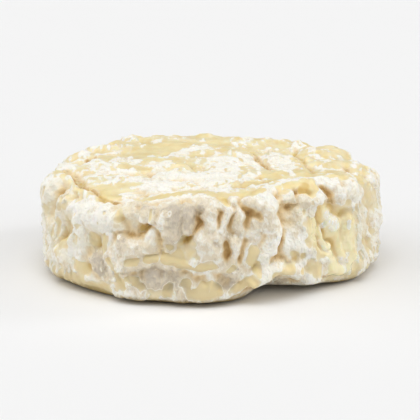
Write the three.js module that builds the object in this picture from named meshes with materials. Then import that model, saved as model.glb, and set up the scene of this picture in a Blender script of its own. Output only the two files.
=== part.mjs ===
// A small soft-ripened cheese: one whole wheel with a lumpy, creased, mould-bloomed rind.
// Millimetres, +Z up, origin at the middle of the flat underside; -Y is the wheel's front.
import * as THREE from "three";
import { mergeVertices } from "three/addons/utils/BufferGeometryUtils.js";

// --- Driving dimensions ---------------------------------------------------------------------
const DIAMETER = 112; // across the side wall
const HEIGHT = 33.5; // from the table to the middle of the top
const RIM_RADIUS = 5.5; // rounding between top and side
const BASE_RADIUS = 5; // rounding between side and underside
const SIDE_BULGE = 1.6; // the paste sags outwards, most at half height
const UNDER_LIP = 13; // ring of the underside that still follows the base's hollows
const SAG = 0.35; // lumps on the side hang down by this share of their height

// --- Mesh fineness --------------------------------------------------------------------------
const TOP_CELLS = 44; // cells along one edge of the square grid that covers the top
const WALL_ROWS = 18; // rows of cells down the rim, the wall and the base rounding
const LIP_ROWS = 4; // rows of cells under the base
const FINEST = 1.2; // narrower strokes than this are widened and flattened

// The wheel isn't round: the outline swells or draws in by these amounts (mm) at these angles
// (degrees, counter-clockwise from +X seen from above), each over a bell of the given half width.
const OUTLINE = [
  { angle: -128, out: 1.5, spread: 26 },
  { angle: -58, out: -3.5, spread: 28 },
  { angle: 115, out: 1.2, spread: 30 },
];

// The rim isn't level: its height differs from HEIGHT by these amounts (mm), in the same way.
const RIM_HEIGHT = [
  { angle: -128, out: -2.2, spread: 28 },
  { angle: -50, out: 1.5, spread: 40 },
  { angle: 48, out: -1, spread: 18 },
  { angle: 115, out: 1, spread: 30 },
];

// The base spreads where the paste has sagged. At the front right it draws in and lifts off the
// table under an overhanging brow.
const BASE_SPREAD = [
  { angle: -158, out: 1.2, spread: 16 },
  { angle: -67, out: -7, spread: 9.5 },
  { angle: -24, out: 1.2, spread: 14 },
];
const BASE_LIFT = [
  { angle: -70, out: 1.7, spread: 8 },
  { angle: -57, out: 1.8, spread: 8 },
  { angle: -44, out: 1.2, spread: 7 },
  { angle: 63, out: 1.6, spread: 9 },
  { angle: 150, out: 1.3, spread: 8 },
];

// --- The plain wheel ------------------------------------------------------------------------
const degrees = THREE.MathUtils.degToRad;
const RIM_ARC = (Math.PI / 2) * RIM_RADIUS;
const BASE_ARC = (Math.PI / 2) * BASE_RADIUS;

// The sum of the bells in a list, at one angle.
function around(bells, angle) {
  let sum = 0;
  for (const bell of bells) {
    const turn = Math.abs(((((angle - bell.angle + 180) % 360) + 360) % 360) - 180);
    sum += bell.out * Math.exp(-((turn / bell.spread) ** 2));
  }
  return sum;
}

function smoothStep(from, to, value) {
  const t = Math.min(Math.max((value - from) / (to - from), 0), 1);
  return t * t * (3 - 2 * t);
}

const wallRadius = (angle) => DIAMETER / 2 - SIDE_BULGE + around(OUTLINE, angle);
const topRadius = (angle) => wallRadius(angle) - RIM_RADIUS;
const rimHeight = (angle) => HEIGHT + around(RIM_HEIGHT, angle);
const wallHeight = (angle) => rimHeight(angle) - RIM_RADIUS - BASE_RADIUS;

// A point of the plain wheel and its outward normal, at an angle and at a distance `down` along
// the meridian from the middle of the rim's rounding: negative inwards over the top, positive
// down the side and in under the base.
function plainWheel(angle, down) {
  const radius = wallRadius(angle);
  const rim = rimHeight(angle);
  const wall = wallHeight(angle);
  const run = down + RIM_ARC / 2;
  const underRun = run - RIM_ARC - wall - BASE_ARC;
  let r;
  let z;
  let tilt; // 0 faces up, a quarter turn outwards, a half turn down
  if (run <= 0) {
    tilt = 0;
    r = Math.max(topRadius(angle) + run, 0);
    z = HEIGHT + (rim - HEIGHT) * (r / topRadius(angle)) ** 2;
  } else if (run <= RIM_ARC) {
    tilt = run / RIM_RADIUS;
    r = radius - RIM_RADIUS + RIM_RADIUS * Math.sin(tilt);
    z = rim - RIM_RADIUS + RIM_RADIUS * Math.cos(tilt);
  } else if (run <= RIM_ARC + wall) {
    tilt = Math.PI / 2;
    r = radius;
    z = rim - RIM_RADIUS - (run - RIM_ARC);
  } else if (underRun <= 0) {
    tilt = Math.PI + underRun / BASE_RADIUS;
    r = radius - BASE_RADIUS + BASE_RADIUS * Math.sin(tilt);
    z = BASE_RADIUS + BASE_RADIUS * Math.cos(tilt);
  } else {
    tilt = Math.PI;
    r = Math.max(radius - BASE_RADIUS - underRun, 0);
    z = 0;
  }
  const low = 1 - smoothStep(0, HEIGHT / 2, z);
  r += SIDE_BULGE * Math.sin(tilt) ** 2;
  r += around(BASE_SPREAD, angle) * low * (1 - smoothStep(0, UNDER_LIP, underRun));
  z += around(BASE_LIFT, angle) * low ** 2 * (1 - smoothStep(UNDER_LIP / 3, UNDER_LIP, underRun));
  const a = degrees(angle);
  return {
    point: new THREE.Vector3(r * Math.cos(a), r * Math.sin(a), z),
    normal: new THREE.Vector3(
      Math.sin(tilt) * Math.cos(a),
      Math.sin(tilt) * Math.sin(a),
      Math.cos(tilt),
    ),
  };
}

// --- Strokes: how the rind is modelled ------------------------------------------------------
// A stroke follows a path over the plain wheel and raises or sinks the rind near it.
// side() takes pairs of an angle and a distance down the side; top() takes plan positions.
const side = (path) => path.map(([angle, down]) => plainWheel(angle, down).point);

function top(path) {
  return path.map(([x, y]) => {
    const angle = THREE.MathUtils.radToDeg(Math.atan2(y, x));
    return plainWheel(angle, Math.hypot(x, y) - topRadius(angle) - RIM_ARC / 2).point;
  });
}

function stroke(form, width, amount, path) {
  return { form, width, amount, path, box: new THREE.Box3().setFromPoints(path) };
}

const crease = (width, depth, path) => stroke("crease", width, -depth, path);
const hollow = (width, depth, path) => stroke("bell", width, -depth, path);
const swell = (width, height, path) => stroke("bell", width, height, path);
const pillow = (width, height, path) => stroke("pillow", width, height, path);
// A step: raised on the left of the path's direction, as seen from outside, and sunk on its right.
const ledge = (width, height, path) => stroke("ledge", width, height, path);
// A lobe. Where lobes meet, the higher one wins and a valley is left between them.
const dome = (width, height, path) => stroke("dome", width, height, path);

// The left end: bulges between long slanting hollows.
const LOBES_LEFT = [
  dome(4.2, 1.3, side([[-162, 1], [-164, 7]])),
  dome(1.6, 1.5, side([[-143, 0.5], [-147, 4.5], [-151, 8.5]])),
  dome(4.5, 1.1, side([[-157, 13], [-158, 18]])),
  dome(4.5, 1.2, side([[-149, 20.5], [-143, 18.5]])),
  dome(3.4, 1.8, side([[-136.5, 7], [-135, 13]])),
  dome(3, 1.1, side([[-139, 2.5], [-136, 3.5]])),
  dome(4.2, 1.5, side([[-131, 3.5], [-130, 5]])),
  dome(3.4, 1.3, side([[-125, 2.5], [-124.5, 6]])),
  dome(3.2, 1.2, side([[-119.6, 4.5], [-120, 7]])),
  dome(3.2, 1.4, side([[-128, 19], [-127, 20]])),
  dome(3.6, 1, side([[-135, 22.5], [-133, 25]])),
  dome(1.5, 1.5, side([[-123.7, 10], [-124.5, 14.5], [-122, 20.5], [-119.8, 25.5]])),
  dome(1.5, 1.3, side([[-121.5, 15.5], [-118.5, 20], [-116.5, 24]])),
  dome(1.6, 1.2, side([[-117.5, 19], [-114.5, 22], [-112.8, 25]])),
  dome(3.4, 1.1, side([[-146, 26.5], [-138, 28]])),
];

// Left of the middle: plump lobes parted by a deep winding crevice.
const LOBES_FRONT_LEFT = [
  dome(2.7, 1.8, side([[-116.2, -0.6], [-116, 1.4]])),
  dome(2.2, 1.3, side([[-111.8, 0], [-111.8, 2.6]])),
  dome(1.9, 1.2, side([[-108, 0], [-108, 2.8]])),
  dome(2, 1.2, side([[-104.6, -0.8], [-104.2, 1]])),
  dome(1.8, 1, side([[-101, -1.6], [-100.4, 0]])),
  dome(3.9, 2.8, side([[-102.6, 3.5], [-101.4, 8]])),
  dome(2.5, 2.5, side([[-98, 1], [-97.4, 7.2]])),
  dome(1.8, 1.7, side([[-107.8, 3.5], [-105.6, 7.6]])),
  dome(3.5, 2.6, side([[-117.2, 12.3], [-108.4, 12]])),
  dome(2.1, 2.3, side([[-109.2, 8.7]])),
  dome(2.8, 1.3, side([[-103, 12.6], [-101, 12.8]])),
  dome(2.2, 1.3, side([[-98, 13.5], [-96, 15]])),
];

// A shelf runs across the lower front, with a recess under its edge.
const LOBES_SHELF = [
  dome(2.3, 1.5, side([[-118, 16.6], [-110, 16.7], [-102, 16.6], [-96, 18.2], [-90.5, 19.3]])),
  dome(1.9, 1.3, side([[-86, 20.5], [-81.5, 21]])),
  dome(2.6, 1.2, side([[-108, 21.5], [-107.5, 22.5]])),
  dome(2.4, 1, side([[-103, 20.8], [-101, 21.3]])),
  dome(1.3, 1.5, side([[-104.4, 22.5], [-105.2, 26.5]])),
  dome(2.4, 1, side([[-114.5, 22.6], [-113, 24.2]])),
  dome(2.8, 1, side([[-98.6, 24], [-93, 25.2]])),
  dome(2.2, 1.2, side([[-86.2, 28], [-85.6, 28.2]])),
  dome(1.6, 1.2, side([[-90.6, 23.6], [-89.5, 26]])),
  dome(1.5, 1.2, side([[-82.6, 24.6], [-82.2, 27]])),
  dome(2.8, 1.1, side([[-79.5, 26], [-76.5, 25.5]])),
  dome(3.4, 1.2, side([[-121, 28.5], [-112, 28.5]])),
  dome(3.2, 1.2, side([[-107, 29], [-99, 29]])),
  dome(3.4, 1.2, side([[-95, 29.5], [-90, 29.5]])),
];

// The middle: narrow lobes that stand between upright crevices.
const LOBES_FRONT = [
  dome(2.5, 2.1, side([[-91.4, 1.4], [-91, 7]])),
  dome(1.9, 1.9, side([[-85.8, 1.5], [-85.9, 8.6]])),
  dome(1.4, 1.8, side([[-81.6, -0.6], [-81.4, 4], [-80.7, 9]])),
  dome(3.1, 1.8, side([[-76.2, 1.2], [-74.4, 2.6]])),
  dome(2.4, 1.9, side([[-75.6, 8], [-75.2, 9.6]])),
  dome(2.6, 1.5, side([[-72.6, 5.4], [-71.8, 11]])),
  dome(2.6, 1.3, side([[-79, 10.6], [-76, 12.4]])),
  dome(4, 2.4, side([[-91.6, 11.6], [-89.6, 14.4]])),
  dome(1.7, 2.4, side([[-88.6, 9.4], [-87.2, 12.4], [-86.6, 15]])),
  dome(2.5, 2.1, side([[-82, 13.6], [-82.6, 17.6]])),
  dome(3.4, 2, side([[-76.4, 16.2], [-77, 18.4]])),
  dome(2, 1.4, side([[-72.8, 15.4], [-73, 18]])),
  dome(1.2, 0.9, side([[-85.8, -2.6], [-85.8, 0.4]])),
];

// Right of the middle: a pale ridge from the rim down to the base's brow, then rough lumps.
const LOBES_RIGHT = [
  dome(3.4, 2.7, side([[-70.4, -1], [-70.2, 4], [-69.8, 8], [-69, 10.5], [-69.2, 13], [-70.2, 17]])),
  dome(2.6, 1.9, side([[-71, 18], [-72.4, 22]])),
  dome(2.1, 1.8, side([[-62.2, 0.4], [-61.7, 2.4]])),
  dome(2.7, 1.9, side([[-58, 2.4], [-56.6, 3]])),
  dome(2.5, 1.4, side([[-53, 3.4], [-50, 2.6]])),
  dome(3.6, 1.5, side([[-58.4, 8], [-57, 12]])),
  dome(3.2, 1.6, side([[-60.5, 15.6], [-57, 17.4]])),
  dome(2.5, 1.4, side([[-64.4, 14.5], [-63.6, 19]])),
  dome(2.6, 1.3, side([[-60, 22.5], [-57, 23]])),
  dome(2.8, 1.2, side([[-53.5, 24.5], [-50, 26]])),
  dome(2, 1.3, side([[-47.2, 24], [-47, 28]])),
  dome(3, 1.9, side([[-54.4, 29.6], [-49.8, 30.2]])),
  dome(2.6, 4.2, side([[-76.4, 26.4], [-72.4, 24], [-67.8, 22], [-63.6, 23.6], [-60, 26.4]])),
  dome(2.6, 1.5, side([[-49.2, -1], [-48.6, 1.4]])),
  dome(2.6, 1.5, side([[-41, -0.4], [-39.8, 2.6]])),
  dome(2.4, 1.2, side([[-35, 0.2], [-33.8, 4.6]])),
  dome(1.7, 1.2, side([[-31, 9], [-30.8, 25]])),
];

// Smooth folds of bare paste, where the rind has come away on the right.
const PASTE_FOLDS = [
  dome(2.6, 1.3, side([[-53, 16.4], [-50.8, 21]])),
  dome(2.4, 1.5, side([[-53, 8.4], [-52.8, 13]])),
  dome(2, 1.7, side([[-47.6, 9], [-44.8, 9.8]])),
  dome(2.2, 2.3, side([[-44, 11], [-42.4, 14.4]])),
  dome(1.9, 2, side([[-49, 13], [-46.8, 16.4], [-45.4, 19.6]])),
  dome(2.2, 1.7, side([[-42.4, 16.4], [-40.4, 20.4], [-39, 24]])),
  dome(2.6, 1.5, side([[-36.6, 14], [-35.4, 24]])),
  dome(2.4, 1.5, side([[-46.6, 22], [-43.4, 27]])),
  dome(2.6, 1.2, side([[-40.6, 26.6], [-40, 29.6]])),
  dome(1.1, 1.2, side([[-37.6, 12.6], [-37.3, 14]])),
];

// Crevices, hollows and steps are cut into the lobes.
const BASE_BROW = [[-81, 30], [-76.8, 28.6], [-73.3, 27], [-70, 25.4], [-67.4, 24.8]];
const CUTS_LEFT = [
  hollow(2.4, 2, side([[-153, 0], [-154.5, 5], [-158, 11]])),
  hollow(2.8, 2, side([[-142, 8.5], [-145.5, 12], [-149, 15.5]])),
  ledge(2, -1.2, side([[-149, 18], [-141.5, 13], [-139.2, 10.5], [-137.7, 7.5]])),
  crease(0.9, 1.2, side([[-142, -1], [-139.5, 1]])),
  hollow(3, 1.3, side([[-128, 10], [-128.3, 15]])),
  crease(0.9, 0.8, side([[-128.6, 9.5], [-128.6, 14]])),
  hollow(1.3, 1, side([[-121, 10.7]])),
  crease(0.8, 0.8, side([[-131.5, 21], [-128, 22.6]])),
];
const CUTS_FRONT_LEFT = [
  crease(0.9, 1.2, side([[-117.4, 4], [-117.5, 8.5]])),
  hollow(2.2, 1.5, side([[-113.8, 6.6], [-111.6, 7.4]])),
  crease(1, 1.6, side([[-119.3, 9], [-116, 9.4], [-113.2, 9], [-111.4, 8], [-110.2, 6]])),
  crease(0.9, 1.3, side([[-110.2, 6], [-107.4, 6.6], [-105.6, 9.2], [-105.2, 11], [-106.2, 13.4]])),
  crease(0.7, 0.9, side([[-114.2, -0.5], [-114.2, 3]])),
  crease(0.6, 0.8, side([[-106.2, 1.6], [-106.2, 5]])),
  crease(0.7, 1, side([[-99.4, -1.5], [-98.6, 2], [-98.9, 5.4], [-98, 7.6]])),
  hollow(1.9, 1.4, side([[-99.6, 9.6], [-97.6, 10.4]])),
];
const SHELF_EDGE = [[-118.5, 19.3], [-112, 19], [-106.7, 18.9], [-102, 20.1], [-96, 21.5]];
const SHELF_END = [[-90.5, 22.5], [-86, 22.8], [-81, 23.8]];
const CUTS_SHELF = [
  ledge(1.8, 0.9, side([...SHELF_EDGE, ...SHELF_END])),
  hollow(1.8, 0.4, side([[-116, 21], [-104, 21], [-99, 22.4], [-92, 24], [-84, 24.6]])),
  crease(0.9, 0.4, side([[-118.5, 15], [-112, 15.4], [-106, 15]])),
  crease(0.8, 0.7, side([[-111.2, 19.6], [-110.8, 22.4]])),
  hollow(0.8, 0.8, side([[-102.3, 21.4], [-102.2, 22.6]])),
  hollow(2, 0.7, side([[-86.4, 25.6], [-85.4, 25.8]])),
  crease(0.7, 0.6, side([[-95, 22.4], [-92.4, 23.4]])),
];
const CUTS_FRONT = [
  hollow(1.5, 1.6, side([[-94.2, 3], [-93.9, 6]])),
  crease(1.1, 1.6, side([[-94.2, 1.5], [-94, 6], [-95.4, 9.4], [-98.2, 10.8]])),
  hollow(1.3, 1, side([[-88, 3], [-88, 7.3]])),
  crease(0.8, 1, side([[-82.4, 1.5], [-83.6, 6], [-83.6, 8.4], [-82.6, 10.8]])),
  hollow(1.2, 0.9, side([[-83.7, 6.6], [-83.5, 7.8]])),
  crease(1, 1.8, side([[-80, -0.5], [-79.4, 3], [-78.3, 4.8], [-78, 9.2]])),
  crease(0.8, 1.3, side([[-78.3, 4.8], [-76.6, 5.2], [-75, 6.4]])),
  hollow(1.4, 2.2, side([[-85.2, 14], [-86.2, 16.4]])),
  crease(0.9, 1.4, side([[-79, 13.4], [-79.7, 16], [-80.4, 17.8]])),
  hollow(1.5, 0.8, side([[-75.2, 20.8], [-75, 22.4]])),
];
const CUTS_RIGHT = [
  crease(1, 2, side([[-66.6, -0.5], [-66.6, 5], [-66, 10.5], [-66, 13.5], [-67, 17], [-68.6, 20]])),
  hollow(2.1, 1.1, side([[-63.4, 6], [-62.3, 9.5]])),
  crease(0.8, 1.3, side([[-63.2, 5.4], [-61, 4.6], [-59.6, 2.4], [-59.4, 0.4]])),
  crease(0.8, 1.5, side([[-59.4, 0.4], [-56.6, 0.5], [-53, 1.1]])),
  hollow(1.6, 1.6, side([[-46.3, 0], [-45, 2.6]])),
  crease(0.8, 1, side([[-45, 2.6], [-43.2, 5.4]])),
  ledge(2, -0.8, side([[-50.5, 4.5], [-54, 10], [-55.5, 13.5], [-53.7, 16], [-52, 20.5]])),
  ledge(1.8, 0.6, side([[-50, 4.6], [-45, 5.8], [-40, 6.8], [-35, 9]])),
  hollow(6, 1.4, side([[-46, 13], [-42, 20]])),
  hollow(1.2, 1, side([[-50.4, 8.4], [-50.3, 13]])),
  hollow(1.2, 0.9, side([[-38.6, 9.6], [-38.2, 11.4]])),
  crease(0.9, 1.2, side([[-47, 13.4], [-44.3, 17.8], [-41.7, 21.4], [-40, 25]])),
  crease(0.8, 1.1, side([[-49.4, 16.4], [-47.6, 19.2], [-46.4, 21]])),
  crease(1, 1, side([[-46.5, 27.5], [-46.5, 32]])),
  crease(1, 1, side([[-58.4, 28], [-58.2, 32]])),
  ledge(1.8, 1.2, side([...BASE_BROW, [-65, 26], [-62, 27.8], [-59, 29]])),
  hollow(1.8, 1.2, side([[-42, 31.6], [-36, 31.8]])),
];

// The top: a raised lip at the left, furrows that run back across the right half, and pits.
const LIP_LINE = [
  [-47.7, -8.4], [-46.4, -15], [-43.7, -19.7], [-41.3, -22], [-39.6, -27.3], [-38.1, -29.5],
  [-36.6, -32.6], [-35, -37.8], [-33.1, -40.8], [-31.5, -42], [-28.6, -44.4],
];
const TOP_LIP = [
  ledge(2.2, 0.6, top(LIP_LINE)),
  crease(1.1, 1.7, top(LIP_LINE)),
  hollow(1.6, 1.6, top([[-45.2, -10.5], [-43.5, -15], [-41.9, -19.2]])),
  swell(2, 1.3, side([[-166, -2.5], [-158, -2], [-150, -2.2], [-142, -2], [-132, -1.2]])),
  hollow(5, 1.8, side([[-208, 0.5], [-192, 0.5], [-176, 1]])),
  hollow(5, 1.6, side([[-14, 0.5], [4, 0], [18, 0.5]])),
  swell(2.6, 0.6, side([[-62, -4], [-50, -4.6], [-38, -4]])),
];
const TOP_FURROWS = [
  crease(1.2, 1.6, top([[13, 24], [15, 16.7], [16.4, 7.1], [18.1, -1.6], [20.8, -7.9]])),
  crease(1, 1.4, top([[29.5, 30], [29.8, 16.4], [30.5, 10.4], [31, 1.4], [32.5, -5.9], [33.3, -17.3]])),
  crease(1, 1.4, top([[15.2, -19.3], [15.3, -26.2], [15.7, -34.7]])),
  crease(0.9, 1.1, top([[9, -28.3], [10.6, -38.2]])),
  crease(0.9, 0.6, top([[10.3, 7.2], [12.4, -5]])),
  crease(1, 1.3, top([[-7.5, 1], [-6.1, -4.5], [-4.8, -9.1], [-2.6, -9], [-1.8, -3]])),
  crease(0.9, 1, top([[-20.1, -11.4], [-19.7, -16.6], [-19.3, -21.6]])),
  crease(0.8, 0.7, top([[-26.6, -10], [-26.2, -12.7]])),
  crease(0.8, 1, top([[-25.8, -20], [-25.3, -23.5]])),
  crease(0.8, 0.8, top([[-23.4, -15.2], [-21.6, -20.2]])),
  crease(0.9, 0.8, top([[-16.7, 15.1], [-15.4, 6.9]])),
  crease(0.8, 1.1, top([[-11.7, -32.3], [-11.2, -37.8]])),
  crease(0.8, 1, top([[-22.3, -33.3], [-21.5, -37.1]])),
  crease(0.9, 1, top([[-35.4, 6.9], [-34.6, 0.4]])),
  crease(0.8, 0.8, top([[-5.5, -25.4], [-4.2, -28.7]])),
  crease(1.1, 1.5, top([[44.3, -2.9], [44.8, -18.5]])),
  ledge(2, 0.5, top([[-27, -40], [-19, -34], [-12, -38], [-8, -34], [0, -36], [6, -35]])),
  ledge(2, 0.4, top([[-36, -25], [-28, -22], [-20, -24], [-12, -21], [-4, -22], [3, -19]])),
  ledge(2, 0.4, top([[-34, -8], [-24, -10], [-16, -6], [-8, -9]])),
];
const TOP_PITS = [
  hollow(1.5, 2, top([[-42.3, 4.5], [-40.8, 6.9], [-39.8, 11.1]])),
  hollow(1.4, 1.8, top([[22.6, 14.6], [24.4, 14.6]])),
  hollow(1.3, 1, top([[30.3, 8], [30.3, 5.5]])),
  pillow(2.2, 0.9, top([[33, 11], [33.1, 6]])),
  hollow(1.2, 1.1, top([[3, 24], [4, 21]])),
  hollow(1.3, 0.8, top([[1.3, 29], [1.3, 27]])),
  hollow(1.2, 1, top([[8.2, 15], [9.1, 13]])),
  hollow(1.3, 1, top([[40.4, 6.5], [42.1, 2.7]])),
  hollow(1.3, 0.8, top([[36.2, 7.5], [36.4, 5.5]])),
  hollow(1.1, 0.8, top([[-15, -2.9], [-14.4, -3.2]])),
  swell(1.2, 1.3, top([[-33.9, 19.6]])),
];

// --- Lobes and creases by rule --------------------------------------------------------------
// A repeatable run of numbers between 0 and 1.
function randomFrom(seed) {
  let state = seed;
  return () => {
    state = (state * 16807) % 2147483647;
    return state / 2147483647;
  };
}

const pick = (random, [low, high]) => low + (high - low) * random();

// Strokes scattered over a stretch of the side, mostly upright.
function scattered({ make, seed, count, angles, downs, length, lean, width, amount }) {
  const random = randomFrom(seed);
  const strokes = [];
  for (let i = 0; i < count; i++) {
    const angle = pick(random, angles);
    const down = pick(random, downs);
    const half = pick(random, length) / 2;
    const turn = pick(random, lean);
    const path = side([[angle - half * turn, down - half], [angle + half * turn, down + half]]);
    strokes.push(make(pick(random, width), pick(random, amount), path));
  }
  return strokes;
}

// Lobes over the top, as far out as reach, lying in any direction.
function scatteredOnTop({ seed, count, reach, length, width, amount }) {
  const random = randomFrom(seed);
  const strokes = [];
  for (let i = 0; i < count; i++) {
    const turn = pick(random, [0, 2 * Math.PI]);
    const out = reach * Math.sqrt(random());
    const heading = pick(random, [0, Math.PI]);
    const half = pick(random, length) / 2;
    const [x, y] = [out * Math.cos(turn), out * Math.sin(turn)];
    const [dx, dy] = [half * Math.cos(heading), half * Math.sin(heading)];
    const path = top([[x - dx, y - dy], [x + dx, y + dy]]);
    strokes.push(dome(pick(random, width), pick(random, amount), path));
  }
  return strokes;
}

const SIDE_LOBES = [
  ...scattered({
    make: dome, seed: 11, count: 60, angles: [-182, -135], downs: [-1, 31],
    length: [3, 8], lean: [-0.9, 0.3], width: [2, 3.4], amount: [0.3, 0.9],
  }),
  ...scattered({
    make: dome, seed: 17, count: 70, angles: [-135, -48], downs: [-2, 31],
    length: [1, 5], lean: [-0.5, 0.5], width: [2, 3.2], amount: [0.1, 0.6],
  }),
  ...scattered({
    make: dome, seed: 23, count: 60, angles: [-34, 8], downs: [-1, 31],
    length: [4, 9], lean: [-0.2, 0.6], width: [1.8, 3], amount: [0.4, 1],
  }),
  ...scattered({
    make: dome, seed: 37, count: 300, angles: [8, 178], downs: [-2, 31],
    length: [1, 7], lean: [-0.6, 0.6], width: [2.2, 4.4], amount: [0.4, 1.9],
  }),
];
const BACK_CREASES = [
  ...scattered({
    make: crease, seed: 53, count: 16, angles: [-30, 5], downs: [-1, 26],
    length: [3, 8], lean: [-0.2, 0.7], width: [0.7, 1.1], amount: [0.5, 1.1],
  }),
  ...scattered({
    make: crease, seed: 59, count: 70, angles: [5, 178], downs: [-2, 27],
    length: [3, 9], lean: [-0.7, 0.7], width: [0.7, 1.3], amount: [0.8, 2],
  }),
];
const TOP_LOBES = scatteredOnTop({
  seed: 41, count: 260, reach: 51,
  length: [1, 8], width: [2.4, 4.6], amount: [0.15, 0.75],
});

// --- The rind's relief ----------------------------------------------------------------------
const LOBES = [
  SIDE_LOBES, TOP_LOBES, LOBES_LEFT, LOBES_FRONT_LEFT, LOBES_SHELF, LOBES_FRONT, LOBES_RIGHT,
  PASTE_FOLDS,
].flat();
const CUTS = [
  CUTS_LEFT, CUTS_FRONT_LEFT, CUTS_SHELF, CUTS_FRONT, CUTS_RIGHT, BACK_CREASES, TOP_LIP,
  TOP_FURROWS, TOP_PITS,
].flat();
const WAVE_HEIGHT = 0.16; // mm, of each plane wave of the broad lumps
const WANDER = 0.28; // mm that each wave of the wander carries a stroke's edge
const LOBE_SPREAD = 1.75; // a lobe fades out at this many times its width
const LOBE_BLEND = 0.3; // mm over which lobes run into each other
const LOBE_SINK = 1.0; // mm that the ground between lobes lies below the plain wheel
const CREASE_ROUNDING = 0.5; // how round the bottom of a crease is, against its width
const CUT_REACH = 4; // a cut has faded out at this many times its width
const LEDGE_STEP = FINEST / 2; // mm over which a ledge steps down
const RELIEF_FADE = -0.55; // the relief fades out from here, by how far the surface faces down
const BLOOM_DEPTH = 0.2; // mm of mould on the paste

// Plane waves through the wheel, each with its own direction and length.
function planeWaves(seed, count, lengths) {
  const random = randomFrom(seed);
  const waves = [];
  for (let i = 0; i < count; i++) {
    const heading = pick(random, [0, 2 * Math.PI]);
    const climb = pick(random, [-1, 1]);
    const number = (2 * Math.PI) / pick(random, lengths);
    const flat = Math.sqrt(1 - climb ** 2);
    const direction = new THREE.Vector3(flat * Math.cos(heading), flat * Math.sin(heading), climb);
    const phase = pick(random, [0, 2 * Math.PI]);
    waves.push((point) => Math.sin(number * point.dot(direction) + phase));
  }
  return waves;
}

const lumpWaves = planeWaves(5, 14, [9, 26]);
const wanderWaves = planeWaves(71, 24, [6, 14]);

// Where the strokes are read for a point: it drifts along the surface, so that their edges wander.
function wandered(point, normal) {
  const drift = new THREE.Vector3();
  wanderWaves.forEach((wave, i) => {
    drift.setComponent(i % 3, drift.getComponent(i % 3) + WANDER * wave(point));
  });
  return point.clone().add(drift.projectOnPlane(normal));
}

// The nearest point of a stroke's path to a point, and the path's direction there.
function nearestOnPath(path, point) {
  const line = new THREE.Line3();
  const foot = new THREE.Vector3();
  if (path.length === 1) return { distance: point.distanceTo(path[0]) };
  let best = { distance: Infinity };
  for (let i = 0; i + 1 < path.length; i++) {
    line.set(path[i], path[i + 1]);
    line.closestPointToPoint(point, true, foot);
    const distance = foot.distanceTo(point);
    if (distance < best.distance) {
      best = { distance, foot: foot.clone(), along: line.delta(new THREE.Vector3()) };
    }
  }
  return best;
}

// A stroke as the mesh can show it: one that is too narrow is widened and flattened.
function softened({ width, amount }) {
  const wide = Math.hypot(width, FINEST);
  return { wide, rise: (amount * width) / wide };
}

// The upper surface of all the lobes together.
function lobeHeight(point) {
  let ground = 0;
  for (const lobe of LOBES) {
    const { wide, rise } = softened(lobe);
    const reach = LOBE_SPREAD * wide;
    if (lobe.box.distanceToPoint(point) > reach) continue;
    const { distance } = nearestOnPath(lobe.path, point);
    if (distance > reach) continue;
    const height = rise * Math.cos(((Math.PI / 2) * distance) / reach) ** 2;
    const blend = Math.max(LOBE_BLEND - Math.abs(ground - height), 0) ** 2 / (4 * LOBE_BLEND);
    ground = Math.max(ground, height) + blend;
  }
  return ground - LOBE_SINK;
}

// How far a stroke moves the rind along its normal at a point of the plain wheel.
function strokeOffset(cut, point, normal) {
  const { wide, rise } = softened(cut);
  if (cut.box.distanceToPoint(point) > CUT_REACH * wide) return 0;
  const { distance, foot, along } = nearestOnPath(cut.path, point);
  const near = distance / wide;
  if (cut.form === "crease") {
    return rise * Math.exp(CREASE_ROUNDING - Math.hypot(near, CREASE_ROUNDING));
  }
  if (cut.form === "pillow") return rise * Math.max(1 - near ** 2, 0);
  if (cut.form === "ledge") {
    const across = new THREE.Vector3().crossVectors(normal, along).normalize();
    const offset = point.clone().sub(foot).dot(across);
    return rise * Math.tanh(offset / LEDGE_STEP) * Math.exp(-near);
  }
  return rise * Math.exp(-(near ** 2));
}

// The underside that the wheel rests on stays flat.
function relief(point, normal) {
  const at = wandered(point, normal);
  let sum = BLOOM_DEPTH + lobeHeight(at);
  for (const wave of lumpWaves) sum += WAVE_HEIGHT * wave(point);
  for (const cut of CUTS) sum += strokeOffset(cut, at, normal);
  return sum * smoothStep(-1, RELIEF_FADE, normal.z);
}

// --- The mesh -------------------------------------------------------------------------------
const WELD = 1e-4; // points of the unit cube that lie closer than this are one
const ROUNDING = 1e-6; // a point's place on the unit cube is rounded to this

// Where a point of the unit cube lies on the wheel: the cube's top face becomes the wheel's top,
// and its four walls wrap round the rim, the side, the base rounding and the lip beneath.
function onWheel(x, y, z) {
  const reach = Math.max(Math.abs(x), Math.abs(y));
  let angle = 0;
  if (reach > 0) {
    angle =
      Math.abs(x) >= Math.abs(y)
        ? (x > 0 ? 0 : 180) + (45 * y) / x
        : (y > 0 ? 90 : -90) - (45 * x) / y;
  }
  const start = -RIM_ARC / 2;
  if (z === 1) return plainWheel(angle, start - (1 - reach) * topRadius(angle));
  const row = ((1 - z) / 2) * (WALL_ROWS + LIP_ROWS);
  const wallRun = RIM_ARC + wallHeight(angle) + BASE_ARC;
  const lipRun = Math.max(row - WALL_ROWS, 0) / LIP_ROWS;
  return plainWheel(angle, start + (Math.min(row / WALL_ROWS, 1) * wallRun + lipRun * UNDER_LIP));
}

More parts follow.
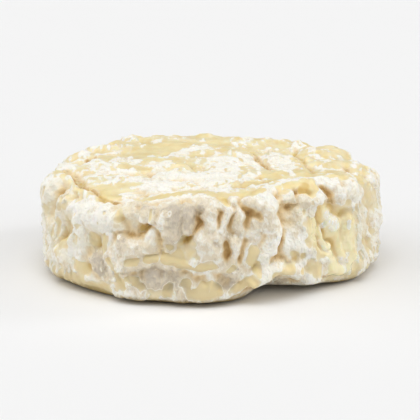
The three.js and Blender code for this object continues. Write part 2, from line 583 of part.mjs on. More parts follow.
// The cube without its bottom face, whose open edge is closed by a flat fan.
function openCubeWithFan() {
  const cells = [TOP_CELLS, TOP_CELLS, WALL_ROWS + LIP_ROWS];
  const cube = new THREE.BoxGeometry(2, 2, 2, ...cells);
  const bottom = cube.groups[5];
  const kept = [...cube.index.array].filter(
    (_, i) => i < bottom.start || i >= bottom.start + bottom.count,
  );
  cube.setIndex(kept);
  cube.deleteAttribute("normal");
  cube.deleteAttribute("uv");
  const shell = mergeVertices(cube, WELD);
  const at = shell.attributes.position;
  const edge = [];
  for (let i = 0; i < at.count; i++) {
    const onEdge = Math.max(Math.abs(at.getX(i)), Math.abs(at.getY(i))) > 1 - WELD;
    if (onEdge && at.getZ(i) < WELD - 1) edge.push(i);
  }
  edge.sort((a, b) => Math.atan2(at.getY(a), at.getX(a)) - Math.atan2(at.getY(b), at.getX(b)));
  const centre = at.count;
  const fan = edge.flatMap((corner, i) => [centre, edge[(i + 1) % edge.length], corner]);
  shell.setAttribute("position", new THREE.Float32BufferAttribute([...at.array, 0, 0, -1], 3));
  shell.setIndex([...shell.index.array, ...fan]);
  return { shell, centre };
}

function cheeseWheel() {
  const { shell, centre } = openCubeWithFan();
  const at = shell.attributes.position;
  const tidy = (value) => Math.round(value / ROUNDING) * ROUNDING;
  for (let i = 0; i < at.count; i++) {
    const { point, normal } = onWheel(tidy(at.getX(i)), tidy(at.getY(i)), tidy(at.getZ(i)));
    const height = relief(point, normal);
    point.addScaledVector(normal, height);
    point.z -= SAG * Math.max(height, 0) * (1 - Math.abs(normal.z));
    at.setXYZ(i, point.x, point.y, Math.max(point.z, 0));
  }
  at.setXYZ(centre, 0, 0, 0);
  shell.computeVertexNormals();
  return shell;
}

const rind = new THREE.MeshStandardMaterial({ color: 0xefe6cf, roughness: 0.65, metalness: 0 });
const wheel = new THREE.Mesh(cheeseWheel(), rind);
wheel.name = "cheese_wheel";

const part = new THREE.Group();
part.add(wheel);
export default part;
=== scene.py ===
import math
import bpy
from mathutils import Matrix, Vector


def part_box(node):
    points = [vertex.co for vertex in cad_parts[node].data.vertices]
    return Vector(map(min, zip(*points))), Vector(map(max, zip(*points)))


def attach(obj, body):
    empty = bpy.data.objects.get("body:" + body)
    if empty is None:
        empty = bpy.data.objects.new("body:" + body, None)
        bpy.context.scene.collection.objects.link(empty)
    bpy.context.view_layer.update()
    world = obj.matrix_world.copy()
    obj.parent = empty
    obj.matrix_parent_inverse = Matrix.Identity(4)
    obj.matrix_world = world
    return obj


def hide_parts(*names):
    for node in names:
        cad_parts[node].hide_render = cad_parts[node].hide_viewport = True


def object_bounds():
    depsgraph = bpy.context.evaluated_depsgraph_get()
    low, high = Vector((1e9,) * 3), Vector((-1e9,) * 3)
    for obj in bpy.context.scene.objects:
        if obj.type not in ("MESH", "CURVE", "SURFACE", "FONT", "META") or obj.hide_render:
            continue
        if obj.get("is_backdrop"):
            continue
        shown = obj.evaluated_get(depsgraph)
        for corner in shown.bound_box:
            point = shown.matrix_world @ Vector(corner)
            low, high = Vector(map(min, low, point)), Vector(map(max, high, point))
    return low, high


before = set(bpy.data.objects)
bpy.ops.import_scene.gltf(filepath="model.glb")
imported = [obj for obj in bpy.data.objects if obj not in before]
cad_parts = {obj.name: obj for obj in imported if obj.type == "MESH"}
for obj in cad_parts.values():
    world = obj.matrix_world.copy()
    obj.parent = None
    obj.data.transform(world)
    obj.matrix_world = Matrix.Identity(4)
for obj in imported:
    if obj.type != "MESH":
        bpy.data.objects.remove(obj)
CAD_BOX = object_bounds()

from types import SimpleNamespace

import bpy
import numpy as np
from mathutils import Vector, noise

# A small soft-ripened cheese. Its form is worked out in millimetres of a wheel 112 mm across,
# and MM turns those into the frame's metres.
NODE = "cheese_wheel"
LOW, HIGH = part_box(NODE)
SOLID_WIDTH = 113.409  # millimetres across the solid with its lumps
MM = (HIGH[0] - LOW[0]) / SOLID_WIDTH

# --- Driving dimensions, in millimetres -------------------------------------------------------
DIAMETER = 112.0  # across the side wall
HEIGHT = 33.5  # from the table to the middle of the top
RIM_RADIUS = 5.5  # rounding between top and side
BASE_RADIUS = 5.0  # rounding between side and underside
SIDE_BULGE = 1.6  # the side sags outwards, most at half height
UNDER_LIP = 13.0  # ring of the underside that still follows the base's hollows
SAG = 0.35  # lumps on the side hang down by this share of their height

# --- Mesh fineness ----------------------------------------------------------------------------
TOP_CELLS = 160  # along one edge of the square grid that covers the top
WALL_ROWS = 94  # down the rim, the wall and the base rounding
LIP_ROWS = 10  # under the base
FRONT_GATHER = 0.4  # the mesh is finer by this share at the front, and coarser at the back

# Bells round the wheel: (angle, amount, half width), with angles in degrees counter-clockwise
# from +X, so that the front is at -90.
OUTLINE = [(-128, 1.5, 26), (-58, -3.5, 28), (115, 1.2, 30)]
RIM_HEIGHT = [(-128, -2.2, 28), (-50, 1.5, 40), (48, -1, 18), (115, 1, 30)]
BASE_SPREAD = [(-158, 1.2, 16), (-67, -7, 9.5), (-24, 1.2, 14)]
BASE_LIFT = [(-70, 1.7, 8), (-57, 1.8, 8), (-44, 1.2, 7), (63, 1.6, 9), (150, 1.3, 8)]

RIM_ARC = math.pi / 2 * RIM_RADIUS
BASE_ARC = math.pi / 2 * BASE_RADIUS


# --- The plain wheel --------------------------------------------------------------------------
def around(bells, angle):
    """The sum of the bells at each angle."""
    total = np.zeros_like(angle, dtype=float)
    for centre, amount, spread in bells:
        turn = np.abs((angle - centre + 180) % 360 - 180)
        total += amount * np.exp(-((turn / spread) ** 2))
    return total


def smooth_step(low, high, value):
    t = np.clip((value - low) / (high - low), 0, 1)
    return t * t * (3 - 2 * t)


def wall_radius(angle):
    return DIAMETER / 2 - SIDE_BULGE + around(OUTLINE, angle)


def top_radius(angle):
    return wall_radius(angle) - RIM_RADIUS


def wall_height(angle):
    return HEIGHT + around(RIM_HEIGHT, angle) - RIM_RADIUS - BASE_RADIUS


def plain_wheel(angle, down):
    """Points and outward normals of the wheel before it is modelled. down is the distance along
    the meridian from the middle of the rim's rounding: negative inwards over the top."""
    radius = wall_radius(angle)
    rim = HEIGHT + around(RIM_HEIGHT, angle)
    wall = wall_height(angle)
    run = down + RIM_ARC / 2
    under = run - RIM_ARC - wall - BASE_ARC
    zones = [run <= 0, run <= RIM_ARC, run <= RIM_ARC + wall, under <= 0]
    tilt = np.select(
        zones,
        [0 * run, run / RIM_RADIUS, 0 * run + math.pi / 2, math.pi + under / BASE_RADIUS],
        math.pi,
    )
    flat = top_radius(angle)
    top_r = np.maximum(flat + run, 0)
    r = np.select(
        zones,
        [
            top_r,
            radius - RIM_RADIUS + RIM_RADIUS * np.sin(tilt),
            radius,
            radius - BASE_RADIUS + BASE_RADIUS * np.sin(tilt),
        ],
        np.maximum(radius - BASE_RADIUS - under, 0),
    )
    z = np.select(
        zones,
        [
            HEIGHT + (rim - HEIGHT) * (top_r / flat) ** 2,
            rim - RIM_RADIUS + RIM_RADIUS * np.cos(tilt),
            rim - RIM_RADIUS - (run - RIM_ARC),
            BASE_RADIUS + BASE_RADIUS * np.cos(tilt),
        ],
        0.0,
    )
    low = 1 - smooth_step(0, HEIGHT / 2, z)
    r = r + SIDE_BULGE * np.sin(tilt) ** 2
    r = r + around(BASE_SPREAD, angle) * low * (1 - smooth_step(0, UNDER_LIP, under))
    z = z + around(BASE_LIFT, angle) * low**2 * (1 - smooth_step(UNDER_LIP / 3, UNDER_LIP, under))
    a = np.radians(angle)
    points = np.stack([r * np.cos(a), r * np.sin(a), z], -1)
    normals = np.stack([np.sin(tilt) * np.cos(a), np.sin(tilt) * np.sin(a), np.cos(tilt)], -1)
    return points, normals


# --- Strokes ----------------------------------------------------------------------------------
# A stroke works on the rind near a path. It has a width, a height or depth, and the path's
# points, each with an angle and a distance down the side for on_side(), or with a place on the
# top, seen from above, for on_top().
def stroke_maker(form, sign=1):
    """A function that makes strokes of one form."""
    def make(width, amount, *points):
        return form, width, sign * amount, points
    return make


crease = stroke_maker("crease", -1)
hollow = stroke_maker("bell", -1)
swell = stroke_maker("bell")
pillow = stroke_maker("pillow")
# A step: raised on the left of the path's direction, seen from outside, and sunk on its right.
ledge = stroke_maker("ledge")
# A lobe. Where lobes meet, the higher one wins and a sharp valley is left between them.
dome = stroke_maker("dome")
# A patch with more or with less white mould, and a mark that changes how the rind looks.
white = stroke_maker("patch")
bare = stroke_maker("patch", -1)
mark = stroke_maker("mark")


def side_path(points):
    angle, down = np.array(points, float).T
    return plain_wheel(angle, down)[0]


def top_path(points):
    x, y = np.array(points, float).T
    angle = np.degrees(np.arctan2(y, x))
    return plain_wheel(angle, np.hypot(x, y) - top_radius(angle) - RIM_ARC / 2)[0]


def on_side(*strokes):
    """The strokes with their paths laid on the side of the plain wheel."""
    return [(form, width, amount, side_path(points)) for form, width, amount, points in strokes]


def on_top(*strokes):
    """The strokes with their paths laid on its top."""
    return [(form, width, amount, top_path(points)) for form, width, amount, points in strokes]


# The left end: bulges between long slanting hollows.
LOBES_LEFT = on_side(
    dome(4.2, 1.3, (-162, 1), (-164, 7)), dome(1.6, 1.5, (-143, 0.5), (-147, 4.5), (-151, 8.5)),
    dome(4.5, 1.1, (-157, 13), (-158, 18)), dome(4.5, 1.2, (-149, 20.5), (-143, 18.5)),
    dome(3.4, 1.8, (-136.5, 7), (-135, 13)), dome(3, 1.1, (-139, 2.5), (-136, 3.5)),
    dome(4.2, 1.5, (-131, 3.5), (-130, 5)), dome(3.4, 1.3, (-125, 2.5), (-124.5, 6)),
    dome(3.2, 1.2, (-119.6, 4.5), (-120, 7)), dome(3.2, 1.4, (-128, 19), (-127, 20)),
    dome(3.6, 1, (-135, 22.5), (-133, 25)),
    dome(1.5, 1.5, (-123.7, 10), (-124.5, 14.5), (-122, 20.5), (-119.8, 25.5)),
    dome(1.5, 1.3, (-121.5, 15.5), (-118.5, 20), (-116.5, 24)),
    dome(1.6, 1.2, (-117.5, 19), (-114.5, 22), (-112.8, 25)), dome(3.4, 1.1, (-146, 26.5), (-138, 28)),
)
# Left of the middle: plump lobes parted by a deep winding crevice.
LOBES_FRONT_LEFT = on_side(
    dome(2.7, 1.8, (-116.2, -0.6), (-116, 1.4)), dome(2.2, 1.3, (-111.8, 0), (-111.8, 2.6)),
    dome(1.9, 1.2, (-108, 0), (-108, 2.8)), dome(2, 1.2, (-104.6, -0.8), (-104.2, 1)),
    dome(1.8, 1, (-101, -1.6), (-100.4, 0)), dome(3.9, 2.8, (-102.6, 3.5), (-101.4, 8)),
    dome(2.5, 2.5, (-98, 1), (-97.4, 7.2)), dome(1.8, 1.7, (-107.8, 3.5), (-105.6, 7.6)),
    dome(3.5, 2.6, (-117.2, 12.3), (-108.4, 12)), dome(2.1, 2.3, (-109.2, 8.7)),
    dome(2.8, 1.3, (-103, 12.6), (-101, 12.8)), dome(2.2, 1.3, (-98, 13.5), (-96, 15)),
)
# A shelf runs across the lower front, with a recess under its edge.
LOBES_SHELF = on_side(
    dome(2.3, 1.5, (-118, 16.6), (-110, 16.7), (-102, 16.6), (-96, 18.2), (-90.5, 19.3)),
    dome(1.9, 1.3, (-86, 20.5), (-81.5, 21)), dome(2.6, 1.2, (-108, 21.5), (-107.5, 22.5)),
    dome(2.4, 1, (-103, 20.8), (-101, 21.3)), dome(1.3, 1.5, (-104.4, 22.5), (-105.2, 26.5)),
    dome(2.4, 1, (-114.5, 22.6), (-113, 24.2)), dome(2.8, 1, (-98.6, 24), (-93, 25.2)),
    dome(2.2, 1.2, (-86.2, 28), (-85.6, 28.2)), dome(1.6, 1.2, (-90.6, 23.6), (-89.5, 26)),
    dome(1.5, 1.2, (-82.6, 24.6), (-82.2, 27)), dome(2.8, 1.1, (-79.5, 26), (-76.5, 25.5)),
    dome(3.4, 1.2, (-121, 28.5), (-112, 28.5)), dome(3.2, 1.2, (-107, 29), (-99, 29)),
    dome(3.4, 1.2, (-95, 29.5), (-90, 29.5)),
)
# The middle: narrow lobes that stand between upright crevices.
LOBES_FRONT = on_side(
    dome(2.5, 2.1, (-91.4, 1.4), (-91, 7)), dome(1.9, 1.9, (-85.8, 1.5), (-85.9, 8.6)),
    dome(1.4, 1.8, (-81.6, -0.6), (-81.4, 4), (-80.7, 9)), dome(3.1, 1.8, (-76.2, 1.2), (-74.4, 2.6)),
    dome(2.4, 1.9, (-75.6, 8), (-75.2, 9.6)), dome(2.6, 1.5, (-72.6, 5.4), (-71.8, 11)),
    dome(2.6, 1.3, (-79, 10.6), (-76, 12.4)), dome(4, 2.4, (-91.6, 11.6), (-89.6, 14.4)),
    dome(1.7, 2.4, (-88.6, 9.4), (-87.2, 12.4), (-86.6, 15)), dome(2.5, 2.1, (-82, 13.6), (-82.6, 17.6)),
    dome(3.4, 2, (-76.4, 16.2), (-77, 18.4)), dome(2, 1.4, (-72.8, 15.4), (-73, 18)),
    dome(1.2, 0.9, (-85.8, -2.6), (-85.8, 0.4)),
)
# Right of the middle: a pale ridge from the rim down to the base's brow, then rough lumps.
LOBES_RIGHT = on_side(
    dome(3.4, 2.7, (-70.4, -1), (-70.2, 4), (-69.8, 8), (-69, 10.5), (-69.2, 13), (-70.2, 17)),
    dome(2.6, 1.9, (-71, 18), (-72.4, 22)), dome(2.1, 1.8, (-62.2, 0.4), (-61.7, 2.4)),
    dome(2.7, 1.9, (-58, 2.4), (-56.6, 3)), dome(2.5, 1.4, (-53, 3.4), (-50, 2.6)),
    dome(3.6, 1.5, (-58.4, 8), (-57, 12)), dome(3.2, 1.6, (-60.5, 15.6), (-57, 17.4)),
    dome(2.5, 1.4, (-64.4, 14.5), (-63.6, 19)), dome(2.6, 1.3, (-60, 22.5), (-57, 23)),
    dome(2.8, 1.2, (-53.5, 24.5), (-50, 26)), dome(2, 1.3, (-47.2, 24), (-47, 28)),
    dome(3, 1.9, (-54.4, 29.6), (-49.8, 30.2)),
    dome(2.6, 4.2, (-76.4, 26.4), (-72.4, 24), (-67.8, 22), (-63.6, 23.6), (-60, 26.4)),
    dome(2.6, 1.5, (-49.2, -1), (-48.6, 1.4)), dome(2.6, 1.5, (-41, -0.4), (-39.8, 2.6)),
    dome(2.4, 1.2, (-35, 0.2), (-33.8, 4.6)), dome(1.7, 1.2, (-31, 9), (-30.8, 25)),
)
# Smooth folds of bare paste, where the rind has come away on the right.
PASTE_FOLDS = on_side(
    dome(2.6, 1.3, (-53, 16.4), (-50.8, 21)), dome(2.4, 1.5, (-53, 8.4), (-52.8, 13)),
    dome(2, 1.7, (-47.6, 9), (-44.8, 9.8)), dome(2.2, 2.3, (-44, 11), (-42.4, 14.4)),
    dome(1.9, 2, (-49, 13), (-46.8, 16.4), (-45.4, 19.6)),
    dome(2.2, 1.7, (-42.4, 16.4), (-40.4, 20.4), (-39, 24)), dome(2.6, 1.5, (-36.6, 14), (-35.4, 24)),
    dome(2.4, 1.5, (-46.6, 22), (-43.4, 27)), dome(2.6, 1.2, (-40.6, 26.6), (-40, 29.6)),
    dome(1.1, 1.2, (-37.6, 12.6), (-37.3, 14)),
)

# Crevices, hollows and steps are cut into the lobes.
CUTS_LEFT = on_side(
    hollow(2.4, 2, (-153, 0), (-154.5, 5), (-158, 11)),
    hollow(2.8, 2, (-142, 8.5), (-145.5, 12), (-149, 15.5)),
    ledge(2, -1.2, (-149, 18), (-141.5, 13), (-139.2, 10.5), (-137.7, 7.5)),
    crease(0.9, 1.2, (-142, -1), (-139.5, 1)), hollow(3, 1.3, (-128, 10), (-128.3, 15)),
    crease(0.9, 0.8, (-128.6, 9.5), (-128.6, 14)), hollow(1.3, 1, (-121, 10.7)),
    crease(0.8, 0.8, (-131.5, 21), (-128, 22.6)),
)
CUTS_FRONT_LEFT = on_side(
    crease(0.9, 1.2, (-117.4, 4), (-117.5, 8.5)), hollow(2.2, 1.5, (-113.8, 6.6), (-111.6, 7.4)),
    crease(1, 1.6, (-119.3, 9), (-116, 9.4), (-113.2, 9), (-111.4, 8), (-110.2, 6)),
    crease(0.9, 1.3, (-110.2, 6), (-107.4, 6.6), (-105.6, 9.2), (-105.2, 11), (-106.2, 13.4)),
    crease(0.7, 0.9, (-114.2, -0.5), (-114.2, 3)), crease(0.6, 0.8, (-106.2, 1.6), (-106.2, 5)),
    crease(0.7, 1, (-99.4, -1.5), (-98.6, 2), (-98.9, 5.4), (-98, 7.6)),
    hollow(1.9, 1.4, (-99.6, 9.6), (-97.6, 10.4)),
)
SHELF_EDGE = [(-118.5, 19.3), (-112, 19), (-106.7, 18.9), (-102, 20.1), (-96, 21.5)]
SHELF_END = [(-90.5, 22.5), (-86, 22.8), (-81, 23.8)]
CUTS_SHELF = on_side(
    ledge(1.8, 0.9, *SHELF_EDGE, *SHELF_END),
    hollow(1.8, 0.4, (-116, 21), (-104, 21), (-99, 22.4), (-92, 24), (-84, 24.6)),
    crease(0.9, 0.4, (-118.5, 15), (-112, 15.4), (-106, 15)),
    crease(0.8, 0.7, (-111.2, 19.6), (-110.8, 22.4)), hollow(0.8, 0.8, (-102.3, 21.4), (-102.2, 22.6)),
    hollow(2, 0.7, (-86.4, 25.6), (-85.4, 25.8)), crease(0.7, 0.6, (-95, 22.4), (-92.4, 23.4)),
)
CUTS_FRONT = on_side(
    hollow(1.5, 1.6, (-94.2, 3), (-93.9, 6)),
    crease(1.1, 1.6, (-94.2, 1.5), (-94, 6), (-95.4, 9.4), (-98.2, 10.8)),
    hollow(1.3, 1, (-88, 3), (-88, 7.3)),
    crease(0.8, 1, (-82.4, 1.5), (-83.6, 6), (-83.6, 8.4), (-82.6, 10.8)),
    hollow(1.2, 0.9, (-83.7, 6.6), (-83.5, 7.8)),
    crease(1, 1.8, (-80, -0.5), (-79.4, 3), (-78.3, 4.8), (-78, 9.2)),
    crease(0.8, 1.3, (-78.3, 4.8), (-76.6, 5.2), (-75, 6.4)),
    hollow(1.4, 2.2, (-85.2, 14), (-86.2, 16.4)),
    crease(0.9, 1.4, (-79, 13.4), (-79.7, 16), (-80.4, 17.8)),
    hollow(1.5, 0.8, (-75.2, 20.8), (-75, 22.4)),
)
BASE_BROW = [(-81, 30), (-76.8, 28.6), (-73.3, 27), (-70, 25.4), (-67.4, 24.8)]
CUTS_RIGHT = on_side(
    crease(1, 2, (-66.6, -0.5), (-66.6, 5), (-66, 10.5), (-66, 13.5), (-67, 17), (-68.6, 20)),
    hollow(2.1, 1.1, (-63.4, 6), (-62.3, 9.5)),
    crease(0.8, 1.3, (-63.2, 5.4), (-61, 4.6), (-59.6, 2.4), (-59.4, 0.4)),
    crease(0.8, 1.5, (-59.4, 0.4), (-56.6, 0.5), (-53, 1.1)), hollow(1.6, 1.6, (-46.3, 0), (-45, 2.6)),
    crease(0.8, 1, (-45, 2.6), (-43.2, 5.4)),
    ledge(2, -0.8, (-50.5, 4.5), (-54, 10), (-55.5, 13.5), (-53.7, 16), (-52, 20.5)),
    ledge(1.8, 0.6, (-50, 4.6), (-45, 5.8), (-40, 6.8), (-35, 9)), hollow(6, 1.4, (-46, 13), (-42, 20)),
    hollow(1.2, 1, (-50.4, 8.4), (-50.3, 13)), hollow(1.2, 0.9, (-38.6, 9.6), (-38.2, 11.4)),
    crease(0.9, 1.2, (-47, 13.4), (-44.3, 17.8), (-41.7, 21.4), (-40, 25)),
    crease(0.8, 1.1, (-49.4, 16.4), (-47.6, 19.2), (-46.4, 21)), crease(1, 1, (-46.5, 27.5), (-46.5, 32)),
    crease(1, 1, (-58.4, 28), (-58.2, 32)),
    ledge(1.8, 1.2, *BASE_BROW, (-65, 26), (-62, 27.8), (-59, 29)),
    hollow(1.8, 0.5, (-42, 31.6), (-36, 31.8)),
)

# The top: a raised lip at the left, a rim that rises and dips, furrows and ledges that run over
# the top, and pits.
LIP_LINE = [
    (-47.7, -8.4), (-46.4, -15), (-43.7, -19.7), (-41.3, -22), (-39.6, -27.3), (-38.1, -29.5),
    (-36.6, -32.6), (-35, -37.8), (-33.1, -40.8), (-31.5, -42), (-28.6, -44.4),
]
TOP_LIP = on_top(
    ledge(2.2, 0.6, *LIP_LINE), crease(1.1, 1.7, *LIP_LINE),
    hollow(1.6, 1.6, (-45.2, -10.5), (-43.5, -15), (-41.9, -19.2)),
)
RIM_SWELLS = on_side(
    swell(2, 1.3, (-166, -2.5), (-158, -2), (-150, -2.2), (-142, -2), (-132, -1.2)),
    hollow(5, 1.8, (-208, 0.5), (-192, 0.5), (-176, 1)), hollow(5, 1.6, (-14, 0.5), (4, 0), (18, 0.5)),
    swell(2.6, 0.6, (-62, -4), (-50, -4.6), (-38, -4)),
)
TOP_FURROWS = on_top(
    crease(1.2, 1.6, (13, 24), (15, 16.7), (16.4, 7.1), (18.1, -1.6), (20.8, -7.9)),
    crease(1, 1.4, (29.5, 30), (29.8, 16.4), (30.5, 10.4), (31, 1.4), (32.5, -5.9), (33.3, -17.3)),
    crease(1, 1.4, (15.2, -19.3), (15.3, -26.2), (15.7, -34.7)),
    crease(0.9, 1.1, (9, -28.3), (10.6, -38.2)), crease(0.9, 0.6, (10.3, 7.2), (12.4, -5)),
    crease(1, 1.3, (-7.5, 1), (-6.1, -4.5), (-4.8, -9.1), (-2.6, -9), (-1.8, -3)),
    crease(0.9, 1, (-20.1, -11.4), (-19.7, -16.6), (-19.3, -21.6)),
    crease(0.8, 0.7, (-26.6, -10), (-26.2, -12.7)), crease(0.8, 1, (-25.8, -20), (-25.3, -23.5)),
    crease(0.8, 0.8, (-23.4, -15.2), (-21.6, -20.2)), crease(0.9, 0.8, (-16.7, 15.1), (-15.4, 6.9)),
    crease(0.8, 1.1, (-11.7, -32.3), (-11.2, -37.8)), crease(0.8, 1, (-22.3, -33.3), (-21.5, -37.1)),
    crease(0.9, 1, (-35.4, 6.9), (-34.6, 0.4)), crease(0.8, 0.8, (-5.5, -25.4), (-4.2, -28.7)),
    crease(1.1, 1.5, (44.3, -2.9), (44.8, -18.5)),
    ledge(2, 0.5, (-27, -40), (-19, -34), (-12, -38), (-8, -34), (0, -36), (6, -35)),
    ledge(2, 0.4, (-36, -25), (-28, -22), (-20, -24), (-12, -21), (-4, -22), (3, -19)),
    ledge(2, 0.4, (-34, -8), (-24, -10), (-16, -6), (-8, -9)),
)
TOP_PITS = on_top(
    hollow(1.5, 2, (-42.3, 4.5), (-40.8, 6.9), (-39.8, 11.1)),
    hollow(1.4, 1.8, (22.6, 14.6), (24.4, 14.6)), hollow(1.3, 1, (30.3, 8), (30.3, 5.5)),
    pillow(2.2, 0.9, (33, 11), (33.1, 6)), hollow(1.2, 1.1, (3, 24), (4, 21)),
    hollow(1.3, 0.8, (1.3, 29), (1.3, 27)), hollow(1.2, 1, (8.2, 15), (9.1, 13)),
    hollow(1.3, 1, (40.4, 6.5), (42.1, 2.7)), hollow(1.3, 0.8, (36.2, 7.5), (36.4, 5.5)),
    hollow(1.1, 0.8, (-15, -2.9), (-14.4, -3.2)), swell(1.2, 1.3, (-33.9, 19.6)),
)


# --- What is scattered by rule ----------------------------------------------------------------
def random_from(seed):
    """A repeatable run of numbers between 0 and 1."""
    factor, limit = 16807, 2**31 - 1
    state = seed
    while True:
        state = state * factor % limit
        yield state / limit


def pick(random, span):
    low, high = span
    return low + (high - low) * next(random)


def scattered(make, seed, count, angles, downs, length, lean, width, amount):
    """Strokes over a stretch of the side: mostly upright, each with its own size."""
    random = random_from(seed)
    strokes = []
    for _ in range(count):
        angle = pick(random, angles)
        down = pick(random, downs)
        half = pick(random, length) / 2
        turn = pick(random, lean)
        ends = (angle - half * turn, down - half), (angle + half * turn, down + half)
        strokes.append(make(pick(random, width), pick(random, amount), *ends))
    return on_side(*strokes)


def scattered_on_top(make, seed, count, reach, length, width, amount):
    """Strokes over the top, as far out as reach, lying in any direction."""
    random = random_from(seed)
    strokes = []
    for _ in range(count):
        turn = pick(random, (0, 2 * math.pi))
        out = reach * math.sqrt(next(random))
        heading = pick(random, (0, math.pi))
        half = pick(random, length) / 2
        middle = np.array([out * math.cos(turn), out * math.sin(turn)])
        step = np.array([half * math.cos(heading), half * math.sin(heading)])
        ends = middle - step, middle + step
        strokes.append(make(pick(random, width), pick(random, amount), *ends))
    return on_top(*strokes)


# What is scattered, the seed and the count, and then spans: of the angle, the distance down, the
# length, the lean, the width and the height or depth.
SIDE_LOBES = [
    *scattered(dome, 11, 60, (-182, -135), (-1, 31), (3, 8), (-0.9, 0.3), (2, 3.4), (0.3, 0.9)),
    *scattered(dome, 17, 70, (-135, -48), (-2, 31), (1, 5), (-0.5, 0.5), (2, 3.2), (0.1, 0.6)),
    *scattered(dome, 23, 60, (-34, 8), (-1, 31), (4, 9), (-0.2, 0.6), (1.8, 3), (0.4, 1)),
    *scattered(dome, 37, 300, (8, 178), (-2, 31), (1, 7), (-0.6, 0.6), (2.2, 4.4), (0.4, 1.9)),
]
BACK_CREASES = [
    *scattered(crease, 53, 16, (-30, 5), (-1, 26), (3, 8), (-0.2, 0.7), (0.7, 1.1), (0.5, 1.1)),
    *scattered(crease, 59, 70, (5, 178), (-2, 27), (3, 9), (-0.7, 0.7), (0.7, 1.3), (0.8, 2)),
]
TOP_LOBES = scattered_on_top(dome, 41, 260, 51, (1, 8), (2.4, 4.6), (0.15, 0.75))

LOBES = [
    *SIDE_LOBES, *TOP_LOBES, *LOBES_LEFT, *LOBES_FRONT_LEFT, *LOBES_SHELF, *LOBES_FRONT,
    *LOBES_RIGHT, *PASTE_FOLDS,
]
CUTS = [
    *CUTS_LEFT, *CUTS_FRONT_LEFT, *CUTS_SHELF, *CUTS_FRONT, *CUTS_RIGHT, *BACK_CREASES,
    *TOP_LIP, *RIM_SWELLS, *TOP_FURROWS, *TOP_PITS,
]

# --- The bloom: where white mould covers the yellow paste --------------------------------------
# A patch adds its amount to the cover out to about its width; above 0 the rind is white.
PATCHES_LEFT = on_side(
    bare(1.3, 1, (-157, -2.5)), bare(1.3, 1, (-143, -2.5)), bare(1, 1.3, (-143, 3.6), (-146.5, 5.6)),
    bare(1.6, 1.2, (-142.5, 15.5), (-146.5, 16.5)), bare(0.7, 1.8, (-126.5, 4.6), (-126.8, 6)),
    bare(0.8, 1.8, (-124, 2.5)), bare(1.6, 1.8, (-129.6, 10), (-129.6, 13.4)),
    bare(1.6, 1.4, (-124.6, 10.4), (-125.2, 14)), bare(1.7, 1.8, (-136.6, 21.4), (-132.6, 21.8)),
    bare(2.2, 1.8, (-150, 29.4), (-138, 27.4), (-124, 28)), white(2.2, 1, (-157, 22), (-148, 24)),
    white(2.4, 0.8, (-141, 4), (-139, 9)), bare(1.1, 1.8, (-122.3, 17), (-119, 22), (-117.6, 25)),
    bare(1.3, 1.4, (-119, 1.4), (-118.4, 4)), white(2.6, 1.3, (-128.6, 3), (-128.4, 7)),
    white(2, 1.3, (-147, 8), (-149, 9.5)),
)
# A small ring of bloom on a bare patch, and the white rim along the shelf's edge.
RING = [(-104.6, 11.7), (-103, 11), (-101.3, 11.7), (-101.3, 13.2), (-102.7, 14.2), (-104.3, 13.8)]
SHELF_RIM = [
    (-119.3, 18.5), (-115.5, 18.5), (-111.9, 18.2), (-106.5, 18.1), (-104, 18.7), (-102.2, 19.2),
    (-99.7, 20.1), (-96, 20.7),
]
SHELF_RIM_END = [(-96, 20.7), (-92, 21.4), (-87.7, 21.9), (-84.5, 23), (-81, 23.2)]
PATCHES_FRONT = on_side(
    bare(0.6, 1.8, (-108.9, 1), (-108.7, 3.4)), bare(1.1, 1.8, (-112.2, 7), (-111, 7.4)),
    bare(1.1, 1.8, (-98.6, 9.6), (-99.4, 11)), bare(1.05, 2.8, (-116.2, 16.8), (-113, 16.6)),
    bare(1.1, 2.8, (-110.1, 16.3), (-107.4, 16.4)), bare(2, 2.8, (-104.2, 16), (-101.6, 16.6)),
    bare(1.5, 2, (-103, 12.6), (-101.4, 12.8)), bare(1.3, 2.4, (-100.2, 14.6), (-99.7, 18.2)),
    bare(2.4, 1.1, (-96.8, 11.6), (-96.3, 15.7)),
    bare(1.15, 2.8, (-98.6, 18.6), (-93.6, 19.3), (-89.8, 20)),
    white(0.35, 3.2, (-96.6, 17.2), (-95.1, 18.6), (-93.9, 17.5)), white(0.35, 3.2, *RING, RING[0]),
    white(0.5, 3.4, *SHELF_RIM), white(0.75, 3.4, *SHELF_RIM_END),
    white(0.4, 3, (-111.7, 14.7), (-111.7, 17.7)), white(0.3, 2.6, (-106.1, 14.6), (-106.2, 17.9)),
    bare(0.75, 2.4, (-116.3, 22), (-113.6, 22.5)), bare(0.85, 2.6, (-113.9, 23.4), (-111.8, 24.8)),
    bare(0.9, 2.4, (-117.8, 23.4)), bare(1.35, 2.8, (-98.2, 24.1), (-97.6, 24.2)),
    bare(1.9, 2.8, (-95.4, 26.9), (-91.7, 27.1), (-88.3, 27.3)),
    bare(1.1, 2.4, (-92.6, 25.1), (-89.8, 25.8)), bare(1.25, 2.6, (-103.7, 25.4), (-103.9, 27.3)),
    white(0.3, 3, (-96, 25.4), (-95.6, 24.7), (-95.1, 25.2), (-94.5, 24.5)),
    white(0.35, 3.4, (-90.5, 26.2), (-90.4, 27.1)), bare(1, 2.6, (-84.8, 21.8), (-82.9, 20.5)),
    bare(0.9, 1.8, (-87.4, 22.4), (-86.6, 22.6)), bare(1.7, 2.2, (-76, 15.8), (-77.2, 18.8)),
    bare(1.2, 1.8, (-75.4, 20.6), (-75, 22.2)), bare(1.6, 2.2, (-81.8, 27.2), (-77, 25.8)),
    bare(1.1, 1.8, (-86.6, -2.6), (-85.2, 0.4)), white(2.2, 0.8, (-108, 20.8), (-106, 23.6)),
    white(2.2, 0.8, (-85.6, 25.4)),
    white(2.6, 1.2, (-122, -1.6), (-112, -1.6), (-100, -1.8), (-92, -1.8)),
)
